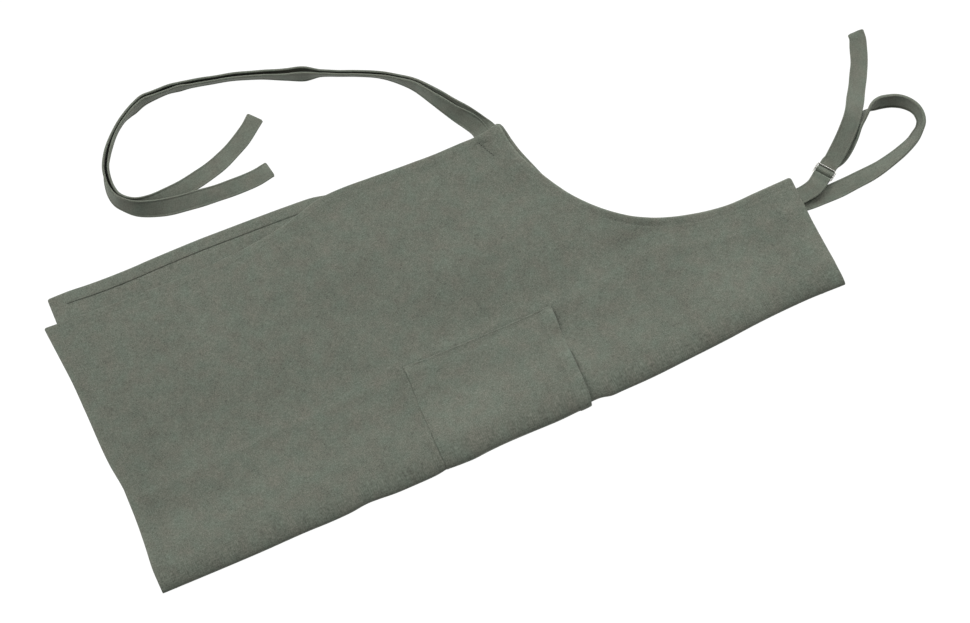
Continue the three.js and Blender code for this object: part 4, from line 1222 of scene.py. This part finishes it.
def signed_volume(mesh):
    """Volume of a closed mesh, below zero where its faces point inward."""
    mesh.calc_loop_triangles()
    points = np.array([v.co for v in mesh.vertices])
    corners = points[np.array([t.vertices for t in mesh.loop_triangles])]
    return float(np.einsum("ij,ij->i", corners[:, 0], np.cross(corners[:, 1], corners[:, 2])).sum() / 6)


def beside_pair(side):
    """One tie of the pair: the inner one left of their shared line, the outer one right of it."""
    table = np.array(TIE_PAIR, float)
    travel = heading(table[:, :2])
    off = side * table[:, 3] / 2
    roll = table[:, 2] + table[:, 4 if side < 0 else 5]
    return tuple(zip(table[:, 0] + travel[:, 1] * off, table[:, 1] - travel[:, 0] * off, roll, 0 * off))


def along_slider(stations):
    """Stations measured along the slider, as strap stations."""
    turn = math.radians(SLIDER_TURN)
    return tuple((SLIDER_X + far * math.cos(turn), SLIDER_Y + far * math.sin(turn), 0, z - STRAP_CLOTH / 2)
                 for far, z in stations)


class APRON_OT_waist_ties(bpy.types.Operator):
    """The two waist ties, laid side by side on edge and round to their flat tails"""

    bl_idname = "apron.waist_ties"
    bl_label = "Waist ties"

    def execute(self, context):
        cloth = context.scene.apron_cloth
        ties = (
            ("waist_tie_inner", INNER_TIE_ROOT + beside_pair(-1) + INNER_TIE_TAIL, 1200.0),
            ("waist_tie_outer", OUTER_TIE_ROOT + beside_pair(1) + OUTER_TIE_TAIL, 2400.0),
        )
        for node, stations, shift in ties:
            tie, long = strap_object(node + "_tape", stations, flat_shift=shift, rim=1.5)
            finish_piece(tie, pressed_tape(cloth), "strap", node)
        return {"FINISHED"}


class APRON_OT_neck_strap(bpy.types.Operator):
    """The neck strap through its slider, and the short tab that holds the slider"""

    bl_idname = "apron.neck_strap"
    bl_label = "Neck strap and tab"

    def execute(self, context):
        cloth = context.scene.apron_cloth
        strap, long = strap_object("neck_tape", NECK_LOOP + along_slider(THROUGH_SLIDER) + NECK_TAIL,
                                   flat_shift=3600.0, rim=2.2, end_cut=(1.2, -1.0))
        finish_piece(strap, pressed_tape(cloth), "strap", "neck_strap")
        tab, short = strap_object("buckle_tab_tape", TAB_RUN + along_slider(TAB_WRAP), far_hem=False,
                                  flat_shift=4800.0)
        finish_piece(tab, pressed_tape(cloth), "strap", "buckle_tab")
        return {"FINISHED"}


class APRON_OT_slider(bpy.types.Operator):
    """Three-bar slider bent from round plated wire, with its centre bar welded in"""

    bl_idname = "apron.slider"
    bl_label = "Slider"

    def execute(self, context):
        slider = context.scene.apron_slider
        bpy.ops.object.select_all(action="DESELECT")
        long, wide = (TOP_BAR - LOWER_BAR) * MM, SLIDER_WIDE * MM - slider.wire
        bpy.ops.mesh.primitive_plane_add(size=1)
        loop = context.object
        loop.name = "slider_wire"
        bpy.ops.object.mode_set(mode="EDIT")
        bpy.ops.mesh.select_all(action="SELECT")
        bpy.ops.transform.resize(value=(long, wide, 1))
        bpy.ops.mesh.bevel(offset=SLIDER_CORNER * MM, offset_type="OFFSET", segments=6, affect="VERTICES")
        bpy.ops.mesh.select_all(action="SELECT")
        bpy.ops.mesh.delete(type="ONLY_FACE")
        bpy.ops.object.mode_set(mode="OBJECT")
        bpy.ops.object.convert(target="CURVE")
        loop.data.bevel_depth = slider.wire / 2
        loop.data.bevel_resolution = 5
        bpy.ops.object.convert(target="MESH")
        bpy.ops.object.select_all(action="DESELECT")
        bpy.ops.mesh.primitive_cylinder_add(vertices=18, radius=slider.wire / 2, depth=wide,
                                            rotation=(math.pi / 2, 0, 0), location=(CENTRE_BAR * MM, 0, 0))
        bar = context.object
        bpy.ops.object.transform_apply(location=True, rotation=True, scale=True)
        bar.select_set(True)
        loop.select_set(True)
        context.view_layer.objects.active = loop
        bpy.ops.object.join()
        loop.location = placed((SLIDER_X, SLIDER_Y, SLIDER_HEIGHT))
        loop.rotation_euler = (0, 0, math.radians(SLIDER_TURN))
        bpy.ops.object.transform_apply(location=True, rotation=True, scale=True)
        bpy.ops.object.shade_smooth_by_angle(angle=math.radians(50))
        loop.data.materials.clear()
        finish_piece(loop, nickel_plate(slider), "steel", "slider_buckle")
        return {"FINISHED"}


class APRON_OT_stage(bpy.types.Operator):
    """Light table, three soft lights from above and behind, and the photograph's camera"""

    bl_idname = "apron.stage"
    bl_label = "Stage"

    def execute(self, context):
        stage = context.scene.apron_stage
        aim = Vector(placed(AIM))
        turn, tilt = math.radians(AZIMUTH), math.radians(ELEVATION)
        back = Vector((math.sin(turn) * math.cos(tilt), -math.cos(turn) * math.cos(tilt), math.sin(tilt)))
        behind = Vector((-math.sin(turn), math.cos(turn), 0))
        right = Vector((math.cos(turn), math.sin(turn), 0))

        bpy.ops.object.select_all(action="DESELECT")
        bpy.ops.mesh.primitive_plane_add(size=FLOOR_SIZE, location=(0, 0, -FLOOR_DROP))
        floor = context.object
        floor.name = "floor"
        bpy.ops.object.transform_apply(location=True, rotation=True, scale=True)
        floor.data.materials.append(light_table(stage))

        powers = (stage.key_power, stage.side_power, stage.back_power)
        for (name, far, aside, up, size), power in zip(LIGHTS, powers):
            light = bpy.data.lights.new(name, "AREA")
            light.shape = "DISK"
            light.size = size
            light.energy = power
            lamp = bpy.data.objects.new(name, light)
            lamp.location = aim + behind * far + right * aside + Vector((0, 0, up))
            lamp.rotation_mode = "QUATERNION"
            lamp.rotation_quaternion = (aim - lamp.location).to_track_quat("-Z", "Y")
            context.scene.collection.objects.link(lamp)

        world = bpy.data.worlds.new("studio")
        world.use_nodes = True
        sky = world.node_tree.nodes["Background"]
        sky.inputs["Color"].default_value = (1, 1, 1, 1)
        sky.inputs["Strength"].default_value = stage.sky
        context.scene.world = world

        lens = bpy.data.cameras.new("camera")
        lens.lens = LENS
        lens.sensor_width = SENSOR
        camera = bpy.data.objects.new("camera", lens)
        camera.location = aim + back * DISTANCE
        camera.rotation_mode = "QUATERNION"
        camera.rotation_quaternion = (-back).to_track_quat("-Z", "Y")
        context.scene.collection.objects.link(camera)
        context.scene.camera = camera
        context.scene.view_settings.view_transform = "Standard"
        return {"FINISHED"}


def light_table(stage):
    """Backlit acrylic sheet: matte, evenly white, with a faint tooth; shadows on it wash out."""
    material, tree, shader = new_material("backlit_acrylic")
    place = add_node(tree, "ShaderNodeTexCoord").outputs["Object"]
    tooth = add_node(tree, "ShaderNodeTexNoise", {"Vector": place, "Scale": 1 / 0.004})
    bump = add_node(tree, "ShaderNodeBump", {"Height": tooth.outputs["Fac"], "Strength": 0.03,
                                             "Distance": 0.0002})
    tree.links.new(bump.outputs[0], shader.inputs["Normal"])
    shader.inputs["Base Color"].default_value = stage.floor
    shader.inputs["Emission Color"].default_value = (1, 1, 1, 1)
    shader.inputs["Emission Strength"].default_value = stage.floor_glow
    shader.inputs["Roughness"].default_value = 1.0
    shader.inputs["Specular IOR Level"].default_value = 0.0
    return material


class APRON_PT_sidebar(bpy.types.Panel):
    """Makes the apron piece by piece"""

    bl_label = "Folded bib apron"
    bl_idname = "APRON_PT_sidebar"
    bl_space_type = "VIEW_3D"
    bl_region_type = "UI"
    bl_category = "Apron"

    def draw(self, context):
        layout = self.layout
        for group in (context.scene.apron_cloth, context.scene.apron_slider, context.scene.apron_stage):
            for name in group.__annotations__:
                layout.prop(group, name)
        for operator in OPERATORS:
            layout.operator(operator.bl_idname)


GROUPS = {"apron_cloth": ApronCloth, "apron_slider": ApronSlider, "apron_stage": ApronStage}
OPERATORS = (
    APRON_OT_stage, APRON_OT_panel, APRON_OT_pocket, APRON_OT_waist_ties, APRON_OT_neck_strap,
    APRON_OT_slider,
)


def register():
    for name, group in GROUPS.items():
        bpy.utils.register_class(group)
        setattr(bpy.types.Scene, name, bpy.props.PointerProperty(type=group))
    for made in OPERATORS + (APRON_PT_sidebar,):
        bpy.utils.register_class(made)


def unregister():
    for made in (APRON_PT_sidebar,) + OPERATORS[::-1]:
        bpy.utils.unregister_class(made)
    for name, group in GROUPS.items():
        delattr(bpy.types.Scene, name)
        bpy.utils.unregister_class(group)


def main():
    register()
    bpy.ops.apron.stage()
    bpy.ops.apron.panel()
    bpy.ops.apron.pocket()
    bpy.ops.apron.waist_ties()
    bpy.ops.apron.neck_strap()
    bpy.ops.apron.slider()


if __name__ == "__main__":
    main()
